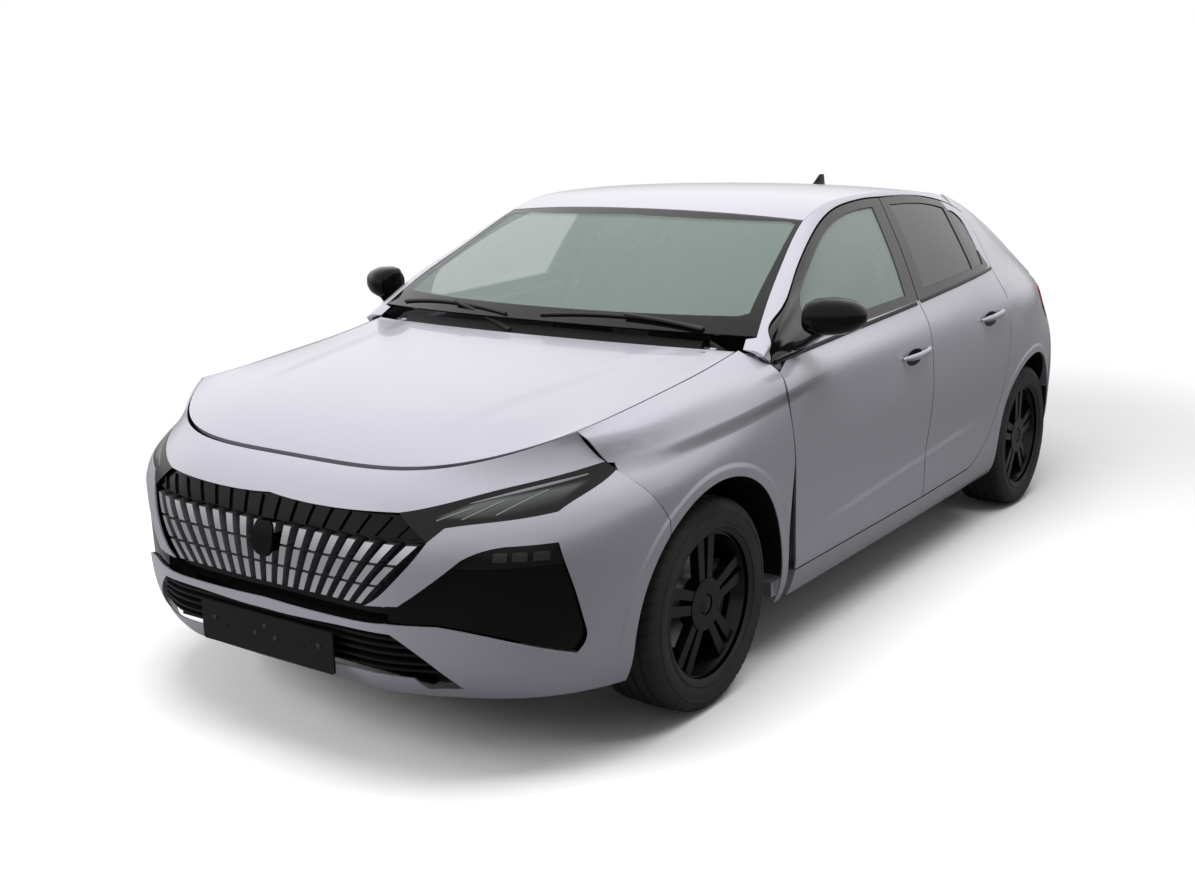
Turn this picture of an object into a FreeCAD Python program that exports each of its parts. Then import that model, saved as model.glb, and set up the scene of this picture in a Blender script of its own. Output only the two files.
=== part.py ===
"""Five-door compact hatchback car.

Frame: X to the car's left, Y to the rear, Z up, millimetres; the origin is on the ground
under the middle of the car. Panels are shells between a curved outer surface and its inward
offset, cut along the shut lines, so neighbouring panels share one surface.
"""
import FreeCAD, Part
import math
import os

Vector = FreeCAD.Vector

# Overall size and stance
LENGTH = 4367.0
HALF_WIDTH = 926.0
ROOF_HEIGHT = 1450.0
WHEELBASE = 2675.0
FRONT_OVERHANG = 862.0

# Wheels
TYRE_RADIUS = 317.0
TYRE_WIDTH = 225.0
RIM_RADIUS = 216.0
TRACK = 1560.0
HUB_RADIUS = 32.0
DISC_RADIUS = 142.0
DISC_THICKNESS = 22.0
ARCH_RADIUS = 383.0
ARCH_DROP = 40.0
ARCH_FLARE = 6.0
STEER_LEAN = 14.0

# Panels
SKIN = 6.0
PANEL_GAP = 6.0
DOOR_DEPTH = 75.0
FRAME_FOOT_Z = 890.0
FRAME_DEPTH = 24.0
DOOR_FRAME_WIDTH = 46.0
DOOR_SETBACK = 26.0
GLASS = 4.0
GLASS_RECESS = 4.0
FIT = 0.3

# Door hinges
HINGE_X = 889.0
HINGE_SETBACK = 70.0
HINGE_LOW_Z = 550.0
HINGE_HIGH_Z = 800.0
HINGE_PIN_RADIUS = 5.5
HINGE_KNUCKLE_RADIUS = 10.0
HINGE_KNUCKLE_HEIGHT = 36.0
HINGE_REACH = 130.0
HINGE_BOX_SETBACK = 22.0

# Fixed panels
WING_SKIN = 4.0
BUMPER_SKIN = 5.0
ROOF_SKIN = 6.0
ROOF_HEADER = 34.0
BONNET_DEPTH = 16.0
GATE_DEPTH = 26.0
COWL_HALF = 620.0
COWL_SKIN = 4.0
BONNET_SIDE_X = 751.0
GATE_INSET = 10.0
SIDE_DEPTHS = [60.0, 60.0, 40.0, 16.0, 12.0, 12.0, 12.0, 14.0, 18.0, 22.0, 30.0, 40.0]
PILLAR_NEAR = 108.0
PILLAR_FAR = 142.0
HIGH_PILLAR_NEAR = [114.0, 84.0, 54.0, 42.0, 34.0]
HIGH_PILLAR_FAR = [136.0, 116.0, 100.0, 92.0, 86.0]
SCREEN_GLASS = 6.0
SEAT_GAP = 0.8
LENS_RECESS = 1.0
LAMP_DEPTH = 40.0
TRIM_RECESS = 12.0
GRILLE_RECESS = 40.0

# Wheel ends
HUB_FACE_X = 38.0
STRUT_TOP_Z = 830.0
STRUT_INSET = 140.0
SPRING_FOOT_Z = 665.0
RAIL_X = 430.0
RAIL_LOW_Z = 330.0
LINER = 6.0

# Tailgate hinge on the reference car
GATE_HINGE_Z = 1396.0
GATE_HINGE_X = [180.0]
GATE_OVERHANG = 30.0
LID_PIN_RADIUS = 3.5
LID_EYE_RADIUS = 6.0
LID_EYE_WIDTH = 22.0
BONNET_HINGE_Y = -955.0
BONNET_HINGE_Z = 996.0
BONNET_HINGE_X = [650.0]

# The body's lines are drawn on this reference car and stretch with the sizes above.
REF_NOSE = -2183.5
REF_FRONT_AXLE = -1321.5
REF_REAR_AXLE = 1353.5
REF_TAIL = 2183.5
REF_HALF_WIDTH = 926.0
REF_ROOF = 1450.0

NOSE_Y = -LENGTH / 2
TAIL_Y = LENGTH / 2
FRONT_AXLE_Y = NOSE_Y + FRONT_OVERHANG
REAR_AXLE_Y = FRONT_AXLE_Y + WHEELBASE
WHEEL_X = TRACK / 2


def between(value, low, high, new_low, new_high):
    """Linear map of value from one span onto another."""
    return new_low + (value - low) * (new_high - new_low) / (high - low)


def along(y):
    """Length station of the reference car on this car."""
    if y < REF_FRONT_AXLE:
        return between(y, REF_NOSE, REF_FRONT_AXLE, NOSE_Y, FRONT_AXLE_Y)
    if y > REF_REAR_AXLE:
        return between(y, REF_REAR_AXLE, REF_TAIL, REAR_AXLE_Y, TAIL_Y)
    return between(y, REF_FRONT_AXLE, REF_REAR_AXLE, FRONT_AXLE_Y, REAR_AXLE_Y)


def across(x):
    """Distance from the centre line of the reference car on this car."""
    return x * HALF_WIDTH / REF_HALF_WIDTH


def above(z):
    """Height of the reference car on this car."""
    return z * ROOF_HEIGHT / REF_ROOF


def at(x, y, z):
    """Point of the reference car on this car."""
    return Vector(across(x), along(y), above(z))


def smooth(stations, s):
    """Values at s of a line through stations (s, v, v...): cubic inside, straight beyond."""
    count = len(stations)

    def slope(i, k):
        first = max(i - 1, 0)
        last = min(i + 1, count - 1)
        return (stations[last][k] - stations[first][k]) / (stations[last][0] - stations[first][0])

    columns = range(1, len(stations[0]))
    if s <= stations[0][0]:
        return [stations[0][k] + slope(0, k) * (s - stations[0][0]) for k in columns]
    if s >= stations[-1][0]:
        return [stations[-1][k] + slope(count - 1, k) * (s - stations[-1][0]) for k in columns]
    i = max(j for j in range(count - 1) if stations[j][0] <= s)
    step = stations[i + 1][0] - stations[i][0]
    t = (s - stations[i][0]) / step
    rise = 3 * t ** 2 - 2 * t ** 3
    values = []
    for k in columns:
        start = stations[i][k] * (1 - rise) + step * slope(i, k) * t * (1 - t) ** 2
        end = stations[i + 1][k] * rise - step * slope(i + 1, k) * t ** 2 * (1 - t)
        values.append(start + end)
    return values


# Lines of the body side, from the sill up, as (y, x, z) on the reference car.
SILL_LOW = [(-1760, 800, 215), (-1600, 868, 210), (-1321, 880, 205), (-1000, 872, 205), (0, 870, 212),
            (1000, 872, 225), (1354, 880, 235), (1700, 850, 250), (1950, 780, 260)]
DOOR_FOOT = [(-1760, 835, 300), (-1600, 893, 295), (-1321, 905, 290), (-1000, 900, 282), (0, 900, 292),
             (1000, 900, 308), (1354, 905, 315), (1700, 868, 330), (1950, 798, 340)]
SCOOP = [(-1760, 850, 430), (-1600, 905, 425), (-1321, 915, 415), (-900, 906, 400), (-380, 904, 420),
         (160, 905, 446), (560, 906, 479), (1000, 912, 500), (1354, 918, 500), (1700, 878, 500),
         (1950, 805, 500)]
FLANK = [(-1760, 850, 540), (-1600, 908, 550), (-1321, 922, 560), (-900, 915, 560), (160, 915, 565),
         (1000, 918, 580), (1354, 924, 590), (1700, 880, 600), (1950, 805, 600)]
WIDEST = [(-1760, 840, 650), (-1600, 905, 665), (-1321, 926, 690), (-900, 924, 700), (160, 926, 705),
          (1000, 926, 730), (1354, 926, 740), (1700, 868, 745), (1950, 793, 740)]
UPPER_FLANK = [(-1760, 815, 735), (-1600, 885, 760), (-1321, 912, 790), (-900, 918, 815), (160, 919, 830),
               (1000, 918, 855), (1354, 912, 862), (1700, 830, 862), (1950, 755, 850)]
SHOULDER = [(-1760, 775, 790), (-1600, 832, 825), (-1321, 872, 865), (-930, 893, 925), (160, 893, 965),
            (700, 890, 985), (1354, 878, 990), (1700, 790, 975), (1950, 715, 950)]
BELT = [(-1760, 762, 866), (-1600, 812, 882), (-1321, 838, 913), (-1000, 850, 950), (-930, 851, 960),
        (-400, 852, 995), (140, 852, 1037), (900, 838, 1090), (1354, 790, 1085), (1700, 745, 1025),
        (1950, 700, 965)]
GLASS_TOP = [(-950, 828, 996), (-779, 801, 1104), (-616, 758, 1192), (-462, 716, 1273), (-312, 680, 1338),
             (-150, 656, 1384), (34, 644, 1404), (227, 638, 1412), (437, 636, 1411), (653, 636, 1402),
             (835, 640, 1382), (998, 650, 1352), (1200, 676, 1282), (1400, 700, 1180), (1700, 703, 1064),
             (1950, 686, 985)]
ROOF_EDGE = [(-950, 803, 1004), (-779, 752, 1122), (-616, 707, 1213), (-462, 668, 1297), (-340, 645, 1357),
             (-200, 634, 1400), (-80, 628, 1417), (200, 622, 1430), (500, 618, 1429), (800, 610, 1412),
             (1060, 600, 1384), (1271, 620, 1316), (1453, 650, 1228), (1700, 672, 1105), (1950, 672, 1000)]
BONNET_EDGE = [(-1760, 742, 896), (-1644, 742, 905), (-1408, 744, 931), (-1144, 748, 967), (-965, 751, 1000),
               (-900, 752, 1012)]

# Centre line of the bonnet, windscreen, roof and tailgate, as (y, z).
BONNET_CENTRE = [(-2055, 800), (-2000, 846), (-1850, 902), (-1600, 950), (-1300, 990), (-1100, 1014)]
SCREEN_FOOT_Y = -1048.0
SCREEN_HEAD_Y = -430.0
SCREEN_CENTRE = [(-1085, 1033), (-860, 1172), (-640, 1292), (-430, 1386)]
ROOF_CENTRE = [(-430, 1386), (-280, 1419), (-100, 1440), (200, 1450), (600, 1446), (900, 1430), (1130, 1406)]
WINDOW_CENTRE = [(1130, 1406), (1330, 1350), (1540, 1262), (1770, 1146), (1985, 1030), (2040, 996)]

SIDE_FRONT_Y = -950.0
SIDE_REAR_Y = 1950.0
SCREEN_SIDE_FOOT_Y = -898.0
SCREEN_SIDE_HEAD_Y = -340.0
GATE_HEAD_Y = 1132.0
ROOF_TAIL_Y = GATE_HEAD_Y - 15.0
GATE_HINGE_Y = GATE_HEAD_Y - 7.5

SIDE_STATIONS = [-950, -860, -740, -600, -450, -300, -150, 50, 300, 550, 800, 1000, 1200, 1400, 1600, 1780, 1950]
QUARTER_JOINT_Y = 986.0
FRAME_STATIONS = [-950, -860, -740, -600, -450, -300, -150, 50, 300, 550, 780, QUARTER_JOINT_Y]
QUARTER_STATIONS = [QUARTER_JOINT_Y, 1050, 1130, 1220, 1330, 1440, 1560, 1680, 1780, 1870, 1950]
WING_STATIONS = [-1790, -1700, -1600, -1480, -1321, -1150, -1020, -900]


def side_section(y, upper):
    """Points of the body side at station y, from the sill to the roof edge or the bonnet edge."""
    lines = [SILL_LOW, DOOR_FOOT, SCOOP, FLANK, WIDEST, UPPER_FLANK, SHOULDER, BELT]
    section = [smooth(line, y) for line in lines]
    if upper == "wing":
        edge = smooth(BONNET_EDGE, y)
        belt = section[-1]
        section.append([belt[0] * 0.45 + edge[0] * 0.55, belt[1] * 0.40 + edge[1] * 0.60])
        section.append(edge)
    else:
        belt = section[-1]
        top = smooth(GLASS_TOP, y)
        for share in (0.33, 0.67):
            bulge = 7.0 * (top[1] - belt[1]) / 360.0
            section.append([belt[0] + (top[0] - belt[0]) * share + bulge,
                            belt[1] + (top[1] - belt[1]) * share])
        section.append(top)
        section.append(smooth(ROOF_EDGE, y))
    return section


def side_grid(stations, upper):
    """Rows of points from the sill upwards, each along the stations."""
    sections = [[at(x, y, z) for x, z in side_section(y, upper)] for y in stations]
    return [list(row) for row in zip(*sections)]


def side_x(y, z, upper="door"):
    """Half-width of the reference body side at station y and height z."""
    section = [(point[1], point[0]) for point in side_section(y, upper)]
    return smooth(section, z)[0]


def crowned_grid(side_points, centre_points, powers):
    """Full-width surface that bends from the centre line down to both side edges."""
    shares = [-1.0, -0.86, -0.68, -0.46, -0.23, 0.0, 0.23, 0.46, 0.68, 0.86, 1.0]
    grid = []
    for side, centre, power in zip(side_points, centre_points, powers):
        row = []
        for share in shares:
            bend = abs(share) ** power
            row.append(at(side[0] * share,
                          centre[0] + (side[1] - centre[0]) * bend,
                          centre[1] + (side[2] - centre[1]) * bend))
        grid.append(row)
    return grid


def spaced(first, last, count):
    """Even values from first to last."""
    return [first + (last - first) * i / (count - 1) for i in range(count)]


def row_depths(grid, depth):
    """One depth for each row of a grid."""
    return depth if isinstance(depth, list) else [depth] * len(grid)


def shifted_grid(grid, depth, outward):
    """Grid moved straight inward, by one depth or by one depth for each row."""
    return [[point - outward * row_depth for point in row]
            for row, row_depth in zip(grid, row_depths(grid, depth))]


def offset_grid(grid, depth, outward):
    """Grid moved inward along its own normals, by one depth or by one depth for each row."""
    rows = len(grid)
    columns = len(grid[0])
    depths = row_depths(grid, depth)
    moved = []
    for i in range(rows):
        line = []
        for j in range(columns):
            right = grid[i][min(j + 1, columns - 1)] - grid[i][max(j - 1, 0)]
            up = grid[min(i + 1, rows - 1)][j] - grid[max(i - 1, 0)][j]
            normal = right.cross(up)
            normal.normalize()
            if normal.dot(outward) < 0:
                normal = normal * -1
            line.append(grid[i][j] - normal * depths[i])
        moved.append(line)
    return moved


def chord_values(lines):
    """Parameters 0 to 1 for the points of parallel lines, by their mean chord lengths."""
    steps = []
    for i in range(len(lines[0]) - 1):
        steps.append(sum((line[i + 1] - line[i]).Length for line in lines) / len(lines))
    values = [0.0]
    for step in steps:
        values.append(values[-1] + step / sum(steps))
    values[-1] = 1.0
    return values


def spline_through(points, values):
    """Cubic spline curve through points at given parameters."""
    curve = Part.BSplineCurve()
    curve.interpolate(points, Parameters=values)
    return curve


def surface_face(grid):
    """Smooth face through a grid of points: splines along the rows, then across them."""
    columns = [list(column) for column in zip(*grid)]
    row_values = chord_values(grid)
    column_values = chord_values(columns)
    row_curves = [spline_through(row, row_values) for row in grid]
    pole_columns = zip(*[curve.getPoles() for curve in row_curves])
    cross_curves = [spline_through(list(poles), column_values) for poles in pole_columns]
    surface = Part.BSplineSurface()
    surface.buildFromPolesMultsKnots(
        [curve.getPoles() for curve in cross_curves],
        row_curves[0].getMultiplicities(), cross_curves[0].getMultiplicities(),
        row_curves[0].getKnots(), cross_curves[0].getKnots(), False, False, 3, 3)
    return surface.toShape()


def skin(grid, near, far, outward, move=offset_grid):
    """Solid between two inward offsets of a curved surface."""
    outer = surface_face(move(grid, near, outward))
    inner = surface_face(move(grid, far, outward))
    edges = [Part.makeRuledSurface(a, b) for a, b in zip(outer.Edges, inner.Edges)]
    shell = Part.makeShell([outer, inner] + edges)
    shell.sewShape()
    if shell.ShapeType != "Shell":
        shell = shell.Shells[0]
    solid = Part.makeSolid(shell)
    if solid.Volume < 0:
        solid.reverse()
    return solid


def line_through(points):
    """Edge through points: straight for two, a spline for more."""
    if len(points) == 2:
        return Part.makeLine(points[0], points[1])
    curve = Part.BSplineCurve()
    curve.interpolate(points)
    return curve.toShape()


FAR = 3000.0


def plain_wire(wire):
    """The same wire with each offset curve made into a spline."""
    edges = []
    for edge in wire.OrderedEdges:
        if isinstance(edge.Curve, (Part.Line, Part.Circle, Part.BSplineCurve)):
            edges.append(edge)
        else:
            edges.append(line_through(edge.discretize(20)))
    return Part.Wire(edges)


def side_wire(runs, offset=0.0):
    """Closed outline seen from the side, from runs of (y, z) points on the reference car."""
    wire = Part.Wire([line_through([Vector(0, along(y), above(z)) for y, z in run]) for run in runs])
    return plain_wire(wire.makeOffset2D(offset)) if offset else wire


def side_prism(runs, offset=0.0, near=0.0, far=1200.0):
    """Solid of a side outline between two distances from the centre line."""
    face = Part.Face(side_wire(runs, offset))
    face.translate(Vector(near, 0, 0))
    return face.extrude(Vector(far - near, 0, 0))


def front_prism(runs, near_y, far_y, offset=0.0):
    """Solid of an outline seen from the front, from runs of (x, z) points."""
    wire = Part.Wire([line_through([Vector(across(x), near_y, above(z)) for x, z in run]) for run in runs])
    if offset:
        wire = plain_wire(wire.makeOffset2D(offset))
    return Part.Face(wire).extrude(Vector(0, far_y - near_y, 0))


def loop(points):
    """Runs of a closed polygon."""
    return [[a, b] for a, b in zip(points, points[1:] + points[:1])]


def box(x0, x1, y0, y1, z0, z1):
    """Block between two corners."""
    return Part.makeBox(x1 - x0, y1 - y0, z1 - z0, Vector(x0, y0, z0))


def rod(start, end, radius):
    """Round bar between two points."""
    return Part.makeCylinder(radius, (end - start).Length, start, end - start)


def mirrored(shape):
    """The same piece on the car's other side."""
    return shape.mirror(Vector(0, 0, 0), Vector(1, 0, 0))


def pair(shape):
    """A left piece with its right twin."""
    return Part.makeCompound([shape, mirrored(shape)])


def fused(pieces):
    """Union of pieces."""
    result = pieces[0]
    for piece in pieces[1:]:
        result = result.fuse(piece)
    return result


def solids_of(shape):
    """Solids of a shape, without the slivers that a cut can leave."""
    largest = max(solid.Volume for solid in shape.Solids)
    kept = [solid for solid in shape.Solids if solid.Volume > largest * 0.02]
    return kept[0] if len(kept) == 1 else Part.makeCompound(kept)


OUT = Vector(1, 0, 0)
UP = Vector(0, 0, 1)
FORWARD = Vector(0, -1, 0)
REARWARD = Vector(0, 1, 0)

# Shut lines and window outlines seen from the side, as (y, z).
FRONT_DOOR_LINE = [(-853, 297), (-856, 372), (-874, 534), (-900, 680), (-920, 793), (-931, 867), (-930, 920),
                   (-921, 962)]
B_LINE_LOW = [(188, 1036), (189, 940), (188, 847), (185, 700), (180, 540), (176, 420), (174, 302)]
B_LINE_HIGH = [(276, 1414), (232, 1225), (188, 1036)]
REAR_DOOR_LINE = [(1062, 1322), (1056, 1250), (1034, 1172), (1010, 1095), (1022, 1000), (1034, 905),
                  (1030, 832), (990, 666), (932, 510), (830, 404), (716, 337), (642, 314)]
FRONT_DOOR_TOP = [(-921, 962), (-879, 1040), (-779, 1104), (-616, 1192), (-462, 1273), (-312, 1338), (-150, 1386),
                  (34, 1408), (160, 1414), (276, 1414)]
REAR_DOOR_TOP = [(276, 1414), (437, 1414), (653, 1405), (835, 1385), (960, 1360), (1030, 1336), (1062, 1322)]
FRONT_DOOR_RUNS = [FRONT_DOOR_LINE, FRONT_DOOR_TOP, B_LINE_HIGH, B_LINE_LOW, [(174, 302), (-853, 297)]]
REAR_DOOR_RUNS = [B_LINE_LOW[::-1], B_LINE_HIGH[::-1], REAR_DOOR_TOP, REAR_DOOR_LINE, [(642, 314), (174, 302)]]

FRONT_GLASS_RUNS = [[(-640, 1034), (-650, 1100), (-625, 1150)],
                    [(-625, 1150), (-552, 1192), (-415, 1262), (-260, 1326), (-94, 1366), (60, 1380), (176, 1383)],
                    [(176, 1383), (104, 1068)],
                    [(104, 1068), (-640, 1034)]]
REAR_GLASS_RUNS = [[(280, 1080), (336, 1385)],
                   [(336, 1385), (500, 1384), (680, 1375), (850, 1350)],
                   [(850, 1350), (790, 1112)],
                   [(790, 1112), (280, 1080)]]
QUARTER_GLASS_RUNS = [[(836, 1116), (893, 1338)],
                      [(893, 1338), (955, 1322), (985, 1290), (984, 1240), (962, 1175), (930, 1120)],
                      [(930, 1120), (836, 1116)]]


FRONT_HINGE_Y = along(-900) + HINGE_SETBACK
REAR_HINGE_Y = along(199) + HINGE_SETBACK


def hinge_pieces(hinge_y):
    """Body-side arms with pins and door-side knuckles of one door, for both hinges."""
    arms = []
    knuckles = []
    x = across(HINGE_X)
    high = HINGE_KNUCKLE_HEIGHT
    for z in (above(HINGE_LOW_Z), above(HINGE_HIGH_Z)):
        pin = Part.makeCylinder(HINGE_PIN_RADIUS, high * 2, Vector(x, hinge_y, z - high))
        eye = Part.makeCylinder(HINGE_KNUCKLE_RADIUS, high - FIT, Vector(x, hinge_y, z - high))
        arm = box(x - HINGE_REACH, x, hinge_y - 8, hinge_y + 8, z - high, z - FIT)
        arms.append(fused([pin, eye, arm]))
        knuckle = Part.makeCylinder(HINGE_KNUCKLE_RADIUS, high, Vector(x, hinge_y, z))
        tab = box(x - HINGE_KNUCKLE_RADIUS, x + 2, hinge_y, hinge_y + HINGE_BOX_SETBACK + 8, z, z + high)
        bore = Part.makeCylinder(HINGE_PIN_RADIUS + FIT, high + 2, Vector(x, hinge_y, z - 1))
        knuckles.append(knuckle.fuse(tab).cut(bore))
    return arms, knuckles


# Region of the doors' deep lower boxes, just under the glass, as (y, z).
DOOR_BOX_ZONE = [[(-1100, 100), (-1100, 936)], [(-1100, 936), (-924, 951), (-78, 1010), (894, 1080), (1100, 1092)],
                 [(1100, 1092), (1100, 100)], [(1100, 100), (-1100, 100)]]


def lid_hinges(places, y, z, fixed_side):
    """Pins and arms on the body, and eyes on the lid, of hinges along a crosswise axis."""
    arms = []
    eyes = []
    for x in [side * place for place in places for side in (-1, 1)]:
        width = LID_EYE_WIDTH
        pin = Part.makeCylinder(LID_PIN_RADIUS, width * 2, Vector(x - width, y, z), OUT)
        fixed = Part.makeCylinder(LID_EYE_RADIUS, width - FIT, Vector(x - width, y, z), OUT)
        if fixed_side < 0:
            arm = box(x - width, x - FIT, y - 26, y, z - LID_EYE_RADIUS - 6, z - 1)
            tab = box(x, x + width, y, y + 26, z - LID_EYE_RADIUS, z + 2)
        else:
            arm = box(x - width, x - FIT, y - LID_EYE_RADIUS, y + LID_EYE_RADIUS, z - LID_EYE_RADIUS - 54, z - 1)
            tab = box(x, x + width, y - 75, y, z - LID_EYE_RADIUS, z + 3)
        arms.append(fused([pin, fixed, arm]))
        eye = Part.makeCylinder(LID_EYE_RADIUS, width, Vector(x, y, z), OUT)
        bore = Part.makeCylinder(LID_PIN_RADIUS + FIT, width + 2, Vector(x - 1, y, z), OUT)
        eyes.append(eye.fuse(tab).cut(bore))
    return arms, eyes


def door(runs, glass_runs, hinge_y):
    """One left door as a skin, a deep lower box and a thin window frame."""
    grid = side_grid(SIDE_STATIONS, "door")
    outer = skin(grid, 0, SKIN, OUT).common(side_prism(runs, -PANEL_GAP / 2))
    lower = skin(grid[:9], SKIN - 2, DOOR_DEPTH, OUT).common(side_prism(DOOR_BOX_ZONE))
    inside = side_prism(runs, -DOOR_SETBACK)
    behind_hinge = box(0, FAR, hinge_y + HINGE_BOX_SETBACK, FAR, 0, FAR)
    lower = lower.common(inside).common(behind_hinge)
    frame = skin(grid[4:], SKIN - 3, FRAME_DEPTH, OUT).common(side_prism(runs, -PANEL_GAP - 8))
    frame = frame.common(box(0, FAR, -FAR, FAR, above(FRAME_FOOT_Z), FAR))
    body = fused([outer, lower, frame])
    for glass in glass_runs:
        body = body.cut(side_prism(glass))
    return body


def door_glass(glass_runs):
    """Window panes of one left door, seated in its frame."""
    grid = side_grid(SIDE_STATIONS, "door")
    pane = skin(grid[4:], GLASS_RECESS, GLASS_RECESS + GLASS, OUT)
    return Part.makeCompound([pane.common(side_prism(runs, -FIT)) for runs in glass_runs])


PARTS = {}


def make_doors():
    """Four doors with their glass, and the hinge arms that the body carries."""
    arms = []
    for place, runs, glass_runs, hinge_y in (
            ("front", FRONT_DOOR_RUNS, [FRONT_GLASS_RUNS], FRONT_HINGE_Y),
            ("rear", REAR_DOOR_RUNS, [REAR_GLASS_RUNS, QUARTER_GLASS_RUNS], REAR_HINGE_Y)):
        body_arms, knuckles = hinge_pieces(hinge_y)
        body = fused([door(runs, glass_runs, hinge_y)] + knuckles)
        glass = door_glass(glass_runs)
        PARTS["door_%s_left" % place] = body
        PARTS["door_%s_right" % place] = mirrored(body)
        PARTS["door_glass_%s_left" % place] = glass
        PARTS["door_glass_%s_right" % place] = mirrored(glass)
        arms += body_arms
    return arms


# Side outlines of the fixed body, as (y, z).
WING_ZONE = [[(-853, 100), (-853, 297)], FRONT_DOOR_LINE, [(-921, 962), (-955, 988)], [(-955, 988), (-955, 1300)],
             [(-955, 1300), (-1300, 1300)], [(-1300, 1300), (-1300, 100)], [(-1300, 100), (-853, 100)]]
TAIL_ZONE = [[(1690, 100), (1700, 560)], [(1700, 560), (1742, 700), (1800, 800)], [(1800, 800), (1775, 860)],
             [(1775, 860), (1800, 950)], [(1800, 950), (1900, 992)], [(1900, 992), (2300, 992)],
             [(2300, 992), (2300, 100)], [(2300, 100), (1690, 100)]]
BUMPER_LINE = [(-1758, 896), (-1700, 805), (-1655, 745), (-1600, 672), (-1580, 640)]
NOSE_ZONE = [[(-1780, 1000), (-1758, 896)], BUMPER_LINE, [(-1580, 640), (-1560, 100)], [(-1560, 100), (-2500, 100)],
             [(-2500, 100), (-2500, 1000)], [(-2500, 1000), (-1780, 1000)]]
B_PILLAR_LOW = loop([(150, 215), (270, 215), (300, 700), (290, 1060), (180, 1060), (160, 700)])
B_PILLAR_HIGH = loop([(165, 1040), (275, 1040), (330, 1425), (230, 1425)])


def arch(axle_y, radius, near, far):
    """Wheel opening: an arc over the wheel with straight legs to the ground."""
    left = Vector(near, axle_y - radius, TYRE_RADIUS - ARCH_DROP)
    right = Vector(near, axle_y + radius, TYRE_RADIUS - ARCH_DROP)
    low_left = Vector(near, axle_y - radius - ARCH_FLARE, -10)
    low_right = Vector(near, axle_y + radius + ARCH_FLARE, -10)
    top = Vector(near, axle_y, TYRE_RADIUS + radius)
    shoulder_left = Vector(near, axle_y - radius, TYRE_RADIUS)
    shoulder_right = Vector(near, axle_y + radius, TYRE_RADIUS)
    edges = [Part.Arc(shoulder_left, top, shoulder_right).toShape(), Part.makeLine(shoulder_right, right),
             Part.makeLine(right, low_right), Part.makeLine(low_right, low_left), Part.makeLine(low_left, left),
             Part.makeLine(left, shoulder_left)]
    return Part.Face(Part.Wire(edges)).extrude(Vector(far - near, 0, 0))


def edge_grid(side_line, centre_line, side_ends, centre_ends, inset, power, count):
    """Crowned surface between the two roof edges, from one crosswise line to another."""
    sides = []
    centres = []
    for share in spaced(0.0, 1.0, count):
        side_y = side_ends[0] + (side_ends[1] - side_ends[0]) * share
        x, z = smooth(side_line, side_y)
        sides.append((x - inset, side_y, z))
        centre_y = centre_ends[0] + (centre_ends[1] - centre_ends[0]) * share
        centres.append((centre_y, smooth(centre_line, centre_y)[0]))
    return crowned_grid(sides, centres, [power] * count)


def screen_grid(inset, beyond=0.0):
    """Windscreen surface, its sides set in from the roof edge line."""
    return edge_grid(ROOF_EDGE, SCREEN_CENTRE, (SCREEN_SIDE_FOOT_Y - beyond, SCREEN_SIDE_HEAD_Y + beyond),
                     (SCREEN_FOOT_Y - beyond, SCREEN_HEAD_Y + beyond), inset, 2.3, 6)


def roof_grid(inset):
    """Roof surface from the windscreen's head to the tailgate."""
    return edge_grid(ROOF_EDGE, ROOF_CENTRE, (SCREEN_SIDE_HEAD_Y + PANEL_GAP, ROOF_TAIL_Y),
                     (SCREEN_HEAD_Y + PANEL_GAP, ROOF_TAIL_Y), inset, 2.3, 8)


def gate_grid(inset):
    """Tailgate surface from the roof down to its sharp rear edge."""
    return edge_grid(ROOF_EDGE, WINDOW_CENTRE, (GATE_HEAD_Y, 1935), (GATE_HEAD_Y, 2036), inset, 2.4, 8)


def roof_ledge(y):
    """Outline of the step in the left roof rail that the roof panel's edge lies on."""
    x, z = smooth(ROOF_EDGE, y)
    side = across(x) - PANEL_GAP / 2 + SEAT_GAP
    low = above(z) - ROOF_SKIN - 2
    corners = [(side, low), (side, low + 60), (side - 80, low + 60), (side - 80, low), (side, low)]
    return Part.makePolygon([Vector(x, along(y), z) for x, z in corners])


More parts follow.
